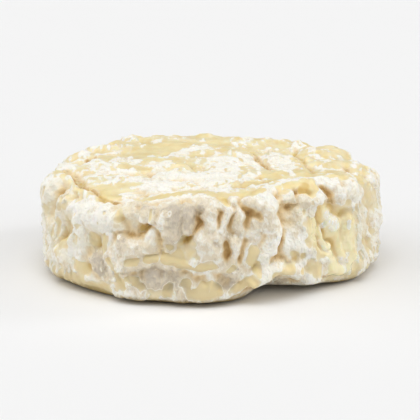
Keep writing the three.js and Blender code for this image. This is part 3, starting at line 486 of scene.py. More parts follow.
PATCHES_RIGHT = on_side(
    bare(1.7, 1.8, (-58.8, -2.8), (-53, -3), (-55.6, -0.2)), bare(1.2, 1.5, (-67, -3.6), (-60, -3.4)),
    bare(0.9, 1.8, (-54.3, 3.8)), bare(0.8, 1.8, (-52, 5.5)), bare(0.6, 1.8, (-57.5, 6.3)),
    bare(1.1, 1.8, (-56.9, 15), (-56.5, 16)), bare(0.9, 1.8, (-58, 20.4)),
    bare(1.2, 1.8, (-62, 18.6), (-61, 20.4)), bare(1.5, 1.8, (-69.5, 23.4), (-63.5, 23)),
    bare(0.8, 1.8, (-58.8, 24.5)), bare(2, 1.8, (-54, 24.4), (-50.6, 26.4)),
    bare(3.6, 1.8, (-52.2, 11.6), (-52.4, 14.4)), bare(2.4, 1.8, (-50.4, 17.6), (-48.6, 20.6)),
    bare(2.4, 2.4, (-49, 7.6), (-45, 8.6), (-40.6, 9.4)),
    bare(4.6, 1.8, (-46.6, 11.8), (-44.6, 18), (-41.4, 22.6)),
    bare(3.4, 1.8, (-38.4, 12), (-37, 17), (-37, 24)), bare(2.3, 1.8, (-44.6, 28), (-39.6, 28.6)),
    bare(0.9, 1.2, (-46.1, 0.6), (-45, 2.8)), bare(0.9, 1.8, (-37.2, 6.2)),
    white(0.7, 3, (-37.5, 12.8), (-37.2, 14.2)), white(1.6, 1.3, (-48.2, 23.6), (-47, 28)),
    white(0.8, 3, (-37.4, 22.6), (-38.6, 24.4)),
)
PATCHES_RIGHT_END = on_side(
    bare(1.7, 1.8, (-24, -1), (-23, 4)), bare(0.9, 1.8, (-27, 6), (-27, 7.4)),
    bare(1, 1.8, (-27.6, 16.6), (-27.6, 20)), bare(1.2, 1.8, (-21.6, 12), (-21.4, 16)),
    white(0.9, 1.3, (-31, 10), (-31, 24)),
)
PATCHES_TOP = on_top(
    white(5, 0.65, (5, 8), (4, -6), (5, -18)), white(6, 0.6, (-16, -29), (-4, -23), (6, -28)),
    white(1.6, 1.2, (-30.4, 3.6), (-24.7, 3.6)), white(1.9, 1.2, (-21.7, -4.4), (-13.1, -2.9)),
    white(3, 1.6, (-16.6, -13), (-16.4, -20)), white(2.4, 1.2, (-14, -15.4), (-6.9, -16.4)),
    white(1.6, 1, (-36, -11.3), (-28.3, -10)), white(1.5, 1, (-29.5, -17.6), (-27, -15.2)),
    white(2.4, 1.4, (-24.4, -21.2), (-19.4, -26.6), (-15.2, -31.3)),
    white(2.2, 1.8, (-27.3, -37), (-23, -36.2), (-19.4, -34)),
    white(1.5, 2, (-18, -39.4), (-10.8, -42.6)), white(1.4, 1.2, (-16, -35), (-10.3, -36.7)),
    white(1.6, 2, (-9.6, 23.3), (-3.3, 25)), white(1.1, 1.6, (-20.8, 13.5), (-17.9, 10.2)),
    white(1.1, 1.6, (-13.6, 15.1), (-11.4, 8.5)), white(1.1, 1.6, (-1.5, 13.6), (0.5, 13.7)),
    white(1.1, 1.6, (-9.1, -35.1), (-3.6, -34.6)), white(0.9, 3, (-0.5, -41.2), (2.6, -41.3)),
    white(1.1, 1.4, (-35.2, -26.4), (-29.7, -23.3)), white(1.9, 2.4, (12.2, 12.8), (15.4, -5)),
    white(2.4, 1.1, (19.4, 14), (23, 2)), white(2.2, 1.6, (24.6, 2), (24.9, -5.4)),
    white(1.2, 1.8, (10.6, -23.7), (13.8, -22.6)), white(1, 2, (4, -40.8), (7.5, -40.5), (11.9, -37.8)),
    white(1.6, 1, (36.3, -8), (43.6, -6.7)), white(2, 1.4, (44.8, -12.5), (45.6, -21)),
    white(1.2, 2.6, (-33.9, 19.6)), white(1.4, 1.6, (-48, -1.5), (-47.4, -5.5)),
    bare(2.2, 1.1, (-29.5, -5.8), (-25.7, -3), (-21.6, -6.4)),
    bare(1.4, 1.3, (-28.8, -27.8), (-23.1, -28.4)),
    bare(2.6, 1.7, (-33.6, -29), (-32.3, -32.6), (-29.9, -38.4)),
    bare(1.1, 2.4, (-21.2, -43.2), (-15.6, -44.6), (-9.5, -46.3)),
    bare(2.3, 1.9, (-8.4, -41), (-5.6, -42.8), (-2.6, -41.4)), bare(1.4, 0.9, (-18.4, 5.3), (-11.3, 3.6)),
    bare(2.4, 1.1, (-8.1, 15.1), (-3.3, 15.3)), bare(1.3, 2.4, (-2, -45), (0.8, -47), (3.1, -49.2)),
    bare(1.5, 2.6, (3, -46.4), (8.6, -46.4), (14.6, -46)), bare(2.6, 1.3, (17.4, -14), (20.6, -21.4)),
    bare(2.2, 1.3, (26.1, -15), (32.1, -12), (39.9, -16.4)), bare(1.7, 2.2, (18.6, -30.3), (23.8, -27.7)),
    bare(3.4, 0.9, (26, -21), (36, -22)), white(1, 1.4, (24, -10), (26, -18), (25, -24)),
    white(0.9, 1.4, (34, -20), (38, -25), (36, -28)),
    bare(1.7, 2.4, (9, -38.5), (15.5, -33), (24, -27.5)),
    bare(1.5, 3.6, (29, -36.4), (31, -37), (30, -41)), bare(1.6, 2.2, (48, -18.6), (48.5, -25.1)),
    bare(5, 0.9, (-34, 10), (-24, 16), (-12, 32)),
    white(2.6, 1.8, (17.8, -42.6), (23, -38), (28, -35), (34, -34), (41, -32)),
)
PATCHES = [*PATCHES_LEFT, *PATCHES_FRONT, *PATCHES_RIGHT, *PATCHES_RIGHT_END, *PATCHES_TOP]

# --- Marks: what else changes the rind's look --------------------------------------------------
# Where the bloom has aged to beige and grey, or is fresher than round about (below 0). Partly real age
# and partly painted shade: some marks, such as those under the shelf and the brow, grey it where shade
# falls.
AGED_AND_SHADED = on_side(
    mark(4.5, 0.75, (-101.5, 4), (-100.6, 8)), mark(4, 0.6, (-90, 11), (-89, 15)),
    mark(3.4, 0.7, (-117.2, 12.6), (-108.4, 12.4)), mark(3, 0.5, (-112, -0.5), (-100, 0.4), (-88, 0)),
    mark(3.5, 0.5, (-76, 1), (-74, 4)), mark(3, 0.4, (-72.6, 9), (-72, 13)),
    mark(3.2, 1.4, (-110, 21.6), (-104.6, 22.6)), mark(2.4, 1.2, (-86, 25.2), (-84.6, 25.6)),
    mark(3.4, 0.5, (-99, 26.6), (-91, 27.2)), mark(2.8, 1.5, (-128, 18.6), (-127, 20)),
    mark(4, 0.7, (-114, 22.6), (-100, 23)), mark(3, 1.5, (-72, 31), (-69, 30), (-62, 31.4)),
    mark(3.6, 0.9, (-62.6, 5.6), (-61.6, 10)), mark(5, -0.5, (-57, 10), (-57, 18)),
    mark(2.6, 0.5, (-124, -0.5), (-112, 1), (-103, 1.6), (-94, 2.4)), mark(3, 0.3, (-98, 3), (-97, 7)),
    mark(4, -0.4, (-69.6, -1), (-69.4, 12), (-71, 19)), mark(6, -0.4, (-136, 2), (-128, 4), (-135, 12)),
)
# Where crevices are browner, or paler (below 0), than their depth alone would make them. The brown
# is partly the rind's own colour and partly painted shade. The furrows of the top that are deeper than
# DEEP_FURROW are browner along their whole length.
DEEP_FURROW = 1.3
TINT_AND_SHADE_SIDE = on_side(
    mark(1.5, 1, (-55.5, -0.6), (-53.6, -1.6)), mark(2.6, -0.5, (-142, 8.5), (-145.5, 12), (-149, 15.5)),
    mark(1.1, 0.6, (-85.2, 14), (-86.2, 16.4)), mark(1.4, 0.2, (-50.2, 6.8), (-49.6, 10.8), (-48.6, 15)),
    mark(1.6, -0.6, (-51, 8), (-50.4, 13)), mark(1, 1, (-85.6, -0.8), (-85.7, 0.8)),
    mark(1, 0.8, (-78.6, 2.9), (-76.3, 5.1), (-74.2, 6.3)),
    mark(1.1, 0.9, (-46.4, 0.1), (-46.2, 2.7), (-44.2, 5.2)), mark(0.9, 0.8, (-36.6, 11)),
    mark(1.8, -0.7, (-84.5, 9.4), (-84.6, 11.6)), mark(2, -0.8, (-75.3, 20.4), (-75, 22.4)),
    mark(2.2, -0.6, (-128.3, 10), (-128.3, 14)), mark(1.8, -0.4, (-94.2, 3), (-94, 6)),
)
TINT_AND_SHADE_TOP = on_top(
    mark(1, 0.7, *LIP_LINE), mark(1.3, 1, (-41.6, 8.6), (-39.9, 11.5)),
)
FURROW_TINT_AND_SHADE = ("mark", 1, 0.4)
DEEP_FURROWS = [path for _, _, depth, path in TOP_FURROWS if depth < -DEEP_FURROW]
TINT_AND_SHADE_MARKS = [*TINT_AND_SHADE_SIDE, *TINT_AND_SHADE_TOP, *[(*FURROW_TINT_AND_SHADE, path) for path in DEEP_FURROWS]]
# The middle line of the broad moist patch, and the pale, dripping folds on it: partly their own pale
# colour and partly painted highlight.
MOIST_PATH = side_path([(-50, 12), (-46, 13), (-43, 20), (-38, 16), (-37, 26), (-44, 28)])
MILKY_HIGHLIGHTS = on_side(
    mark(1.6, 1, (-46.2, 8.6), (-45, 9.8), (-43.4, 11.2), (-43, 13.4)),
    mark(0.8, 1, (-45.8, 11.3), (-47.6, 12.7), (-48.5, 13.5)),
    mark(0.9, 0.7, (-42.7, 9.2), (-40.2, 11.1)),
    mark(0.7, 0.8, (-40.2, 23.7), (-39.1, 26.5), (-38.8, 28.6)),
    mark(0.6, 0.6, (-49.7, 16.5), (-46, 20.9)),
)
# Where the paste shows through thin bloom.
THIN = on_side(
    mark(3, 0.6, (-153, 0), (-154.5, 5), (-158, 11)),
    mark(3.2, 0.6, (-142.5, 8.5), (-145.5, 12), (-149, 15.5)), mark(1.8, 0.7, (-143, 3.4), (-147, 5.4)),
    mark(2.6, 0.8, (-119, 1), (-118, 4.5)), mark(2.6, 0.7, (-129.6, 10), (-129.6, 14)),
    mark(2.4, 0.6, (-61.6, 3.6), (-60, 6)), mark(3, 0.6, (-54, 9), (-54.6, 14), (-53, 19)),
    mark(4, 0.5, (-28, 4), (-27, 22)),
)


# --- Fields over the wheel --------------------------------------------------------------------
WAVE_HEIGHT = 0.16  # broad lumps, for each of their waves
WANDER = 0.28  # how far each wave of the wander carries a stroke's edge
AXIS_WAVES = 8  # waves of the wander along each axis
FINE_WANDER = 0.5
MARK_DRIFT = 0.35  # the share of that drift that the colour patches follow
STROKE_REACH = 4  # a stroke is worked out as far as this many times its width
MARK_REACH = 2.2  # and a patch or a mark as far as this
LOBE_SINK = 1.0  # the ground between lobes lies this far below the plain wheel
LOBE_BLEND = 0.3  # how softly lobes run into each other
LOBE_SPREAD = 1.75  # a lobe fades out at this many times its width
CREASE_ROUNDING = 0.5  # how round the bottom of a crease is, against its width
LEDGE_EDGE = 0.4  # how far a step's edge reaches to either side
BLOOM_DEPTH = 0.35
FLAKE_SHARE = 0.5  # the top's flakes are this share as wide as they are long
GRAIN_DEPTH = 0.3
STREAK_DEPTH = 0.55
STREAK_WIDTH, STREAK_LENGTH = 3.2, 9
STREAK_FURROW = 0.4  # how deep the furrows between the streaks' ridges are, against the ridges
ROUGHNESS = 0.22
FRONT_MIDDLE = -86  # the middle of the front whose strokes are listed one by one, in degrees
FRONT_HALF, FRONT_END = 44, 54  # it fades out between these angles from its middle
PATCH_SHARPNESS = 6  # patches end more sharply than marks
MOIST_CORE, MOIST_EDGE = 3.5, 7  # the moist patch dries out between these distances
CREVICE_DEPTH = 0.6  # a narrow crevice this deep counts as fully deep
HOLLOW_DEPTH = 1.5  # and a wide one this deep
EVEN_ROUNDS, CREVICE_ROUNDS, HOLLOW_ROUNDS = 7, 57, 320  # of evening out, each after the last


def plane_waves(points, seed, count, lengths):
    """A column for each of several plane waves that cross the wheel in different directions."""
    random = random_from(seed)
    columns = []
    for _ in range(count):
        heading = pick(random, (0, 2 * math.pi))
        climb = pick(random, (-1, 1))
        number = 2 * math.pi / pick(random, lengths)
        flat = math.sqrt(1 - climb**2)
        direction = np.array([flat * math.cos(heading), flat * math.sin(heading), climb]) * number
        columns.append(np.sin(points @ direction + pick(random, (0, 2 * math.pi))))
    return np.stack(columns, -1)


def soft_noise(points, size, shift=0.0):
    """Smooth noise from about -1 to 1, with features some size millimetres across. Another
    shift gives another pattern."""
    cells = points / size + shift
    return 2 * np.array([noise.noise(cell) for cell in cells.tolist()])


def pebbles(points, size):
    """Rounded grains about size millimetres across, from 0 between them to 1 on top."""
    cells = points / size
    near = np.array([noise.voronoi(cell)[0][0] for cell in cells.tolist()])
    return np.maximum(1 - (near / 0.75) ** 2, 0)


def streaks(points, angle):
    """Upright, slightly leaning ridges: 1 along a ridge, -STREAK_FURROW in the furrows."""
    lean = 0.35 * np.cos(np.radians(angle)) + 0.25 * soft_noise(points, 17, 3.1)
    twist = lean * points[:, 2] / (DIAMETER / 2)
    x = points[:, 0] * np.cos(twist) - points[:, 1] * np.sin(twist)
    y = points[:, 0] * np.sin(twist) + points[:, 1] * np.cos(twist)
    stretched = np.stack([x / STREAK_WIDTH, y / STREAK_WIDTH, points[:, 2] / STREAK_LENGTH], -1)
    return np.clip(1 - 1.7 * np.abs(soft_noise(stretched, 1.0, 9.3)), -STREAK_FURROW, 1)


def nearest_on_path(path, points):
    """Distance to a path, its nearest point, and its direction there."""
    best = np.full(len(points), np.inf)
    foot = np.zeros_like(points)
    along = np.zeros_like(points)
    starts, ends = (path, path) if len(path) == 1 else (path[:-1], path[1:])
    for start, end in zip(starts, ends):
        run = end - start
        t = np.clip((points - start) @ run / max(run @ run, 1e-9), 0, 1)
        near = start + t[:, None] * run
        distance = np.linalg.norm(points - near, axis=1)
        closer = distance < best
        best[closer] = distance[closer]
        foot[closer] = near[closer]
        along[closer] = run
    return best, foot, along


def within_reach(path, reach, points):
    inside = np.all((points > path.min(0) - reach) & (points < path.max(0) + reach), axis=1)
    return np.flatnonzero(inside)


def lobe_height(points):
    """The upper surface of all the lobes together."""
    height = np.zeros(len(points))
    for _, width, rise, path in LOBES:
        reach = LOBE_SPREAD * width
        touched = within_reach(path, reach, points)
        if not len(touched):
            continue
        distance = nearest_on_path(path, points[touched])[0]
        lobe = rise * np.cos(math.pi / 2 * np.minimum(distance / reach, 1)) ** 2
        ground = height[touched]
        blend = np.maximum(LOBE_BLEND - np.abs(ground - lobe), 0) ** 2 / (4 * LOBE_BLEND)
        height[touched] = np.where(distance < reach, np.maximum(ground, lobe) + blend, ground)
    return height - LOBE_SINK


def stroke_offset(stroke, points, normals):
    """How far a stroke moves the rind along its normal at each point of the plain wheel."""
    form, width, amount, path = stroke
    offset = np.zeros(len(points))
    touched = within_reach(path, STROKE_REACH * width, points)
    if not len(touched):
        return offset
    at, facing = points[touched], normals[touched]
    distance, foot, along = nearest_on_path(path, at)
    near = distance / width
    if form == "crease":
        moved = amount * np.exp(CREASE_ROUNDING - np.hypot(near, CREASE_ROUNDING))
    elif form == "pillow":
        moved = amount * np.maximum(1 - near**2, 0)
    elif form == "ledge":
        across = np.cross(facing, along)
        across /= np.maximum(np.linalg.norm(across, axis=1), 1e-9)[:, None]
        apart = np.einsum("ij,ij->i", at - foot, across)
        moved = amount * np.tanh(apart / LEDGE_EDGE) * np.exp(-near)
    else:
        moved = amount * np.exp(-(near**2))
    offset[touched] = moved
    return offset


def spread_marks(marks, points, start, sharpness=4):
    """start with each mark's amount added out to about its width, where a higher sharpness
    makes it end more abruptly."""
    total = start.copy()
    for _, width, amount, path in marks:
        touched = within_reach(path, MARK_REACH * width, points)
        if len(touched):
            distance = nearest_on_path(path, points[touched])[0]
            total[touched] += amount / (1 + (distance / width) ** sharpness)
    return total


def front_share(angle):
    """1 over the front whose strokes are listed one by one, 0 round the ends and back."""
    turn = np.abs((angle - FRONT_MIDDLE + 180) % 360 - 180)
    return 1 - smooth_step(FRONT_HALF, FRONT_END, turn)


def end_share(angle, normals):
    """1 on the side of the ends and back, 0 over the front and the top."""
    return (1 - front_share(angle)) * (1 - smooth_step(0.6, 0.98, normals[:, 2]))


def bloom_cover(points, normals, angle, ridges):
    """The bloom's cover: white above 0, bare yellow paste below."""
    front = front_share(angle)
    upright = 1 - smooth_step(0.55, 0.95, normals[:, 2])
    low = smooth_step(23, 31, HEIGHT - points[:, 2])
    side = 0.85 * front + (0.35 + 0.9 * (ridges - 0.35)) * (1 - front) - 0.5 * low
    side += 0.36 * soft_noise(points, 6.5, 1.7) + 0.36 * soft_noise(points, 3.0, 5.1)
    # On the top the bloom lies in flakes that are longer from front to back.
    laid = points * np.array([1.0, FLAKE_SHARE, 1.0])
    flakes = 0.65 * np.abs(soft_noise(laid, 3.8, 7.7)) + 0.45 * soft_noise(laid, 2.0, 2.9)
    flakes += 0.3 * soft_noise(laid, 6.0, 1.7) + 0.45 * soft_noise(laid, 1.2, 5.1)
    warmer = smooth_step(20, 34, points[:, 0]) + smooth_step(10, 26, points[:, 1])
    top = -0.35 - 0.3 * np.minimum(warmer, 1) + flakes
    specks = (0.12 + 0.18 * upright) * soft_noise(points, 1.5, 8.4)
    plain_cover = side * upright + top * (1 - upright) + specks
    return spread_marks(PATCHES, points, plain_cover, PATCH_SHARPNESS)


def bloom_age_and_shade(points, normals):
    """0 where the bloom is fresh and white, 1 where it is beige, 2 where it has gone grey. This is partly
    real age and partly painted shade: it is higher on the sides than on the top, and marks add it
    under the shelf and the brow.
    """
    start = 0.4 + 0.35 * soft_noise(points, 9, 6.6) - 0.4 * smooth_step(0.4, 0.9, normals[:, 2])
    return np.clip(spread_marks(AGED_AND_SHADED, points, start), 0, 2)


def bloom_thinness(points, normals, angle):
    """1 where the bloom is so thin that the paste shows through it."""
    ends = end_share(angle, normals)
    start = 0.1 + ends * (0.1 + 0.4 * soft_noise(points, 6, 4.4)) + 0.2 * soft_noise(points, 4, 1.4)
    return np.clip(spread_marks(THIN, points, start), 0, 1)


def patch_wetness_and_highlight(points):
    """1 over the broad moist patch on the right, and up to 2 on its pale folds, where the part above 1
    paints highlight.
    """
    distance = np.full(len(points), MOIST_EDGE, float)
    touched = within_reach(MOIST_PATH, MOIST_EDGE, points)
    distance[touched] = nearest_on_path(MOIST_PATH, points[touched])[0]
    wet = 1 - smooth_step(MOIST_CORE, MOIST_EDGE, distance)
    return np.clip(spread_marks(MILKY_HIGHLIGHTS, points, wet), 0, 2)


# --- The rind's mesh --------------------------------------------------------------------------
RIM_START = -RIM_ARC / 2  # distance down at which the rim's rounding begins


def square_ring(cells):
    """Angles of the points round a square face's edge, counter-clockwise from one corner."""
    return -45 + 360 * np.arange(4 * cells) / (4 * cells)


def face_grid(cells):
    """The grid that covers a round face: each point's angle and its share of the way out, the
    faces, and the points of its edge in the order of square_ring."""
    steps = np.linspace(-1, 1, cells + 1)
    y, x = np.meshgrid(steps, steps, indexing="ij")
    x, y = x.ravel(), y.ravel()
    share = np.maximum(np.abs(x), np.abs(y))
    wide = np.abs(x) >= np.abs(y)
    with np.errstate(divide="ignore", invalid="ignore"):
        angle = np.where(
            wide,
            np.where(x > 0, 0, 180) + 45 * y / x,
            np.where(y > 0, 90, -90) - 45 * x / y,
        )
    angle = np.where(share == 0, 0, angle)
    row = cells + 1
    corner = (np.arange(cells)[:, None] * row + np.arange(cells)[None, :]).ravel()
    faces = np.stack([corner, corner + 1, corner + row + 1, corner + row], -1)
    right = [j * row + cells for j in range(cells)]
    back = [cells * row + i for i in range(cells, 0, -1)]
    left = [j * row for j in range(cells, 0, -1)]
    front = list(range(cells))
    return angle, share, faces, np.array(right + back + left + front)


def gathered(angle):
    """Angles drawn together towards the front, where the rind's detail is finest."""
    return angle - np.degrees(FRONT_GATHER * np.sin(np.radians(angle + 90)))


def stitches(ring, edge):
    """Triangles that join a ring of points to an edge with half as many."""
    even, odd, after = ring[0::2], ring[1::2], np.roll(ring[0::2], -1)
    next_edge = np.roll(edge, -1)
    return np.concatenate([
        np.stack([even, edge, odd], -1),
        np.stack([odd, edge, next_edge], -1),
        np.stack([odd, next_edge, after], -1),
    ])


def top_grid():
    angle, share, faces, edge = face_grid(TOP_CELLS)
    angle = gathered(angle)
    return angle, RIM_START - (1 - share) * top_radius(angle), faces, edge


def wall_grid(first, upper):
    """Rings of points down from the ring upper to the underside, numbered from first."""
    angle = gathered(square_ring(TOP_CELLS))
    wall_run = RIM_ARC + wall_height(angle) + BASE_ARC
    ring = np.arange(len(angle))
    turn = np.roll(ring, -1)
    rows = WALL_ROWS + LIP_ROWS
    downs, faces = [], []
    for row in range(1, rows + 1):
        down = RIM_START + min(row / WALL_ROWS, 1) * wall_run
        downs.append(down + max(row - WALL_ROWS, 0) / LIP_ROWS * UNDER_LIP)
        lower = first + (row - 1) * len(ring) + ring
        faces.append(np.stack([lower, lower[turn], upper[turn], upper], -1))
        upper = lower
    return np.tile(angle, rows), np.concatenate(downs), np.concatenate(faces), upper


def base_grid():
    """The underside, twice as coarse as the top: its edge takes every other point of a ring."""
    angle, share, faces, edge = face_grid(TOP_CELLS // 2)
    angle = gathered(angle)
    end_down = RIM_START + RIM_ARC + wall_height(angle) + BASE_ARC + UNDER_LIP
    inner = wall_radius(angle) - BASE_RADIUS - UNDER_LIP
    step_in = inner / (TOP_CELLS / 2)
    return angle, end_down + step_in + (1 - share) * (inner - step_in), faces[:, ::-1], edge


def wheel_grid():
    """Angle and distance down of every point of the fine wheel, its square faces, and the
    triangles that join the underside to the last ring."""
    top_angle, top_down, top_faces, top_edge = top_grid()
    first = len(top_angle)
    wall_angle, wall_down, wall_faces, last_ring = wall_grid(first, top_edge)
    first += len(wall_angle)
    base_angle, base_down, base_faces, base_edge = base_grid()
    angle = np.concatenate([top_angle, wall_angle, base_angle])
    down = np.concatenate([top_down, wall_down, base_down])
    quads = np.concatenate([top_faces, wall_faces, first + base_faces])
    return angle, down, quads, stitches(last_ring, first + base_edge)


def make_mesh(name, points, quads, triangles):
    """A mesh from points in millimetres and its faces."""
    mesh = bpy.data.meshes.new(name)
    loops = np.concatenate([quads.ravel(), triangles.ravel()]).astype(np.int32)
    sizes = np.concatenate([np.full(len(quads), 4), np.full(len(triangles), 3)])
    starts = np.concatenate([[0], np.cumsum(sizes)[:-1]]).astype(np.int32)
    mesh.vertices.add(len(points))
    mesh.vertices.foreach_set("co", (points * MM).astype(np.float32).ravel())
    mesh.loops.add(len(loops))
    mesh.loops.foreach_set("vertex_index", loops)
    mesh.polygons.add(len(sizes))
    mesh.polygons.foreach_set("loop_start", starts)
    mesh.polygons.foreach_set("use_smooth", np.ones(len(sizes), dtype=bool))
    mesh.update(calc_edges=True)
    mesh.validate()
    return mesh


def put_attribute(mesh, name, values):
    layer = mesh.attributes.new(name, "FLOAT", "POINT")
    layer.data.foreach_set("value", values.astype(np.float32))


def neighbour_mean(values, pairs, rounds):
    """Values evened out over the mesh's edges, rounds times."""
    count = len(values)
    ends = np.concatenate([pairs[:, 0], pairs[:, 1]])
    others = np.concatenate([pairs[:, 1], pairs[:, 0]])
    share = np.bincount(ends, minlength=count)
    for _ in range(rounds):
        values = 0.5 * values + 0.5 * np.bincount(ends, values[others], count) / share
    return values


def wander(plain, normals):
    """The wheel's points, moved within its surface so that strokes worked out there have
    uneven edges."""
    waves = plane_waves(plain, 71, 3 * AXIS_WAVES, (6, 14)).reshape(len(plain), AXIS_WAVES, 3)
    drift = WANDER * waves.sum(axis=1)
    for axis in range(3):
        drift[:, axis] += FINE_WANDER * soft_noise(plain, 2.4, 20.3 * axis)
    outward = np.einsum("ij,ij->i", drift, normals)
    return plain + drift - normals * outward[:, None]


def rind_height(plain, wandered, normals, angle, ridges, cover):
    """How far the rind lies outside the plain wheel, from broad lumps to the bloom's grain."""
    height = WAVE_HEIGHT * plane_waves(plain, 5, 14, (9, 26)).sum(axis=1) + lobe_height(wandered)
    for stroke in CUTS:
        height += stroke_offset(stroke, wandered, normals)
    height += STREAK_DEPTH * end_share(angle, normals) * (ridges - 0.4)
    # The bloom is a thin layer with a raised edge, grainy and curled where it is thick.
    height += BLOOM_DEPTH * smooth_step(-0.15, 0.3, cover)
    mouldy = smooth_step(0, 0.5, cover)
    grain = 0.5 * pebbles(wandered, 2.4) + 0.5 * pebbles(plain, 1.4)
    curls = 1 - 2 * np.abs(soft_noise(wandered, 2.2, 11.9))
    height += GRAIN_DEPTH * (grain + 0.8 * curls - 0.8) * (0.15 + 0.85 * mouldy)
    height += ROUGHNESS * soft_noise(plain, 3.6, 14.2) * (0.5 + 0.5 * mouldy)
    # The underside is flat.
    return height * smooth_step(-1, -0.55, normals[:, 2])


def sunk_depth(height, quads):
    """How far each point lies below the rind near it, about 1 in a deep crevice."""
    pairs = np.concatenate([quads[:, [0, 1]], quads[:, [1, 2]], quads[:, [2, 3]], quads[:, [3, 0]]])
    even = neighbour_mean(height, pairs, EVEN_ROUNDS)
    close = neighbour_mean(even, pairs, CREVICE_ROUNDS)
    wide = neighbour_mean(close, pairs, HOLLOW_ROUNDS)
    return 0.5 * (close - even) / CREVICE_DEPTH + 0.5 * (wide - even) / HOLLOW_DEPTH


def build_rind():
    """The rind in one piece, with attributes that its look is worked out from."""
    angle, down, quads, triangles = wheel_grid()
    plain, normals = plain_wheel(angle, down)
    wandered = wander(plain, normals)
    ridges = streaks(plain, angle)
    marked = plain + MARK_DRIFT * (wandered - plain)
    cover = bloom_cover(marked, normals, angle, ridges)
    height = rind_height(plain, wandered, normals, angle, ridges, cover)
    points = plain + normals * height[:, None]
    points[:, 2] -= SAG * np.maximum(height, 0) * (1 - np.abs(normals[:, 2]))
    points[:, 2] = np.maximum(points[:, 2], 0)
    mesh = make_mesh("rind", points, quads, triangles)
    age_and_shade = bloom_age_and_shade(marked, normals)
    # Crevices are browned and darkened by their sunk depth and the marks: partly the rind's own colour,
    # partly painted shade.
    deep = sunk_depth(height, quads) * (1 - 0.6 * smooth_step(0.9, 1.5, age_and_shade))
    put_attribute(mesh, "cover", cover)
    put_attribute(mesh, "crevice_tint_and_shade", np.clip(spread_marks(TINT_AND_SHADE_MARKS, marked, deep), -1, 2))
    put_attribute(mesh, "age_and_shade", age_and_shade)
    put_attribute(mesh, "thinness", bloom_thinness(marked, normals, angle))
    # Above 1, this attribute paints highlight on the moist patch's pale folds.
    put_attribute(mesh, "wet", patch_wetness_and_highlight(marked))
    piece = bpy.data.objects.new("rind", mesh)
    bpy.context.scene.collection.objects.link(piece)
    return piece


# --- The rind's look --------------------------------------------------------------------------
def rgb(red, green, blue):
    return (red, green, blue, 1)


PASTE_PALE = rgb(0.92, 0.80, 0.48)
PASTE_DEEP = rgb(0.85, 0.69, 0.35)
# Painted shade: paste that faces sideways is darkened towards this.
PASTE_SIDE_SHADE = rgb(0.77, 0.65, 0.39)
PASTE_MOIST = rgb(0.98, 0.87, 0.59)
# Aged paste, also used as painted shade where the age marks stand for shade.
PASTE_AGED_AND_SHADED = rgb(0.52, 0.43, 0.26)
# Gold for the paste's pits: partly the paste's own colour, partly painted shade.
PASTE_GOLD_AND_SHADE = rgb(0.72, 0.52, 0.19)
BLOOM_BRIGHT = rgb(0.98, 0.957, 0.875)
# Painted highlight: white flecks on the moist patch's pale folds.
HIGHLIGHT_FLECK_WHITE = rgb(1.0, 0.995, 0.96)
# Beige and grey for aged bloom, also used as painted shade under the shelf and the brow.
BLOOM_BEIGE_AND_SHADE = rgb(0.82, 0.73, 0.57)
BLOOM_GREY_AND_SHADE = rgb(0.62, 0.545, 0.44)
# Warm and brown for the bloom's crevices: partly the rind's own colour, partly painted shade.
BLOOM_WARM_AND_SHADE = rgb(0.85, 0.66, 0.37)
BLOOM_BROWN_AND_SHADE = rgb(0.58, 0.37, 0.14)
# Painted contact shade at the foot, with a brown glow.
FOOT_SHADE_BROWN = rgb(0.36, 0.24, 0.04)
TABLE_WHITE = rgb(0.87, 0.87, 0.87)
STUDIO_GREY = rgb(0.913, 0.913, 0.913)

BROAD_GRAIN = 5 * MM
COARSE_GRAIN = 2 * MM
FINE_GRAIN = 0.8 * MM
THREAD_GRAIN = 1.4 * MM
THREAD_STRETCH = (1, 0.6, 0.45)  # threads are longer upright and from front to back
FOOT_LOW = 1.6 * MM  # the painted contact shade at the foot ends at this height, and up to FOOT_RAGGED above it
FOOT_RAGGED = 3 * MM
GLOW_DEPTH = 1.6 * MM  # how far light gets into the paste
GLOW_COLOURS = (1.0, 0.8, 0.5)  # and the share of that for red, green and blue
BUMP_DEPTH = 0.9 * MM

RIND_LOOK = bpy.data.materials.new("bloomy_rind")
RIND_LOOK.use_nodes = True
TREE = RIND_LOOK.node_tree


def add_node(kind, inputs=None, **settings):
    """A node of the rind's material with its settings, and its inputs set to values or linked
    to other nodes' outputs."""
    made = TREE.nodes.new(kind)
    for name, value in settings.items():
        setattr(made, name, value)
    set_inputs(made, inputs or {})
    return made


def set_inputs(node, inputs):
    for key, value in inputs.items():
        socket = node.inputs[key]
        if isinstance(value, bpy.types.NodeSocket):
            TREE.links.new(value, socket)
        else:
            socket.default_value = value


def calculate(operation, first, second=0.0, third=0.0):
    inputs = {0: first, 1: second, 2: third}
    return add_node("ShaderNodeMath", inputs, operation=operation).outputs[0]


def plus(first, second):
    return calculate("ADD", first, second)


def minus(first, second):
    return calculate("SUBTRACT", first, second)


def times(first, second):
    return calculate("MULTIPLY", first, second)


def times_plus(first, second, third):
    return calculate("MULTIPLY_ADD", first, second, third)


def soften(value, low, high, to_low=0.0, to_high=1.0):
    """A value eased from to_low at low to to_high at high."""
    inputs = {"Value": value, "From Min": low, "From Max": high, "To Min": to_low, "To Max": to_high}
    return add_node("ShaderNodeMapRange", inputs, interpolation_type="SMOOTHSTEP").outputs["Result"]


def blend_colour(factor, first, second):
    return add_node("ShaderNodeMix", {0: factor, 6: first, 7: second}, data_type="RGBA").outputs[2]


def grainy(place, size, detail=1.0, roughness=0.5):
    """Noise from 0 to 1 with grains some size metres across."""
    inputs = {"Vector": place, "Scale": 1 / size, "Detail": detail, "Roughness": roughness}
    return add_node("ShaderNodeTexNoise", inputs).outputs[0]


def read_attribute(name):
    return add_node("ShaderNodeAttribute", attribute_name=name).outputs["Fac"]


def height_of(vector):
    return add_node("ShaderNodeSeparateXYZ", {0: vector}).outputs["Z"]


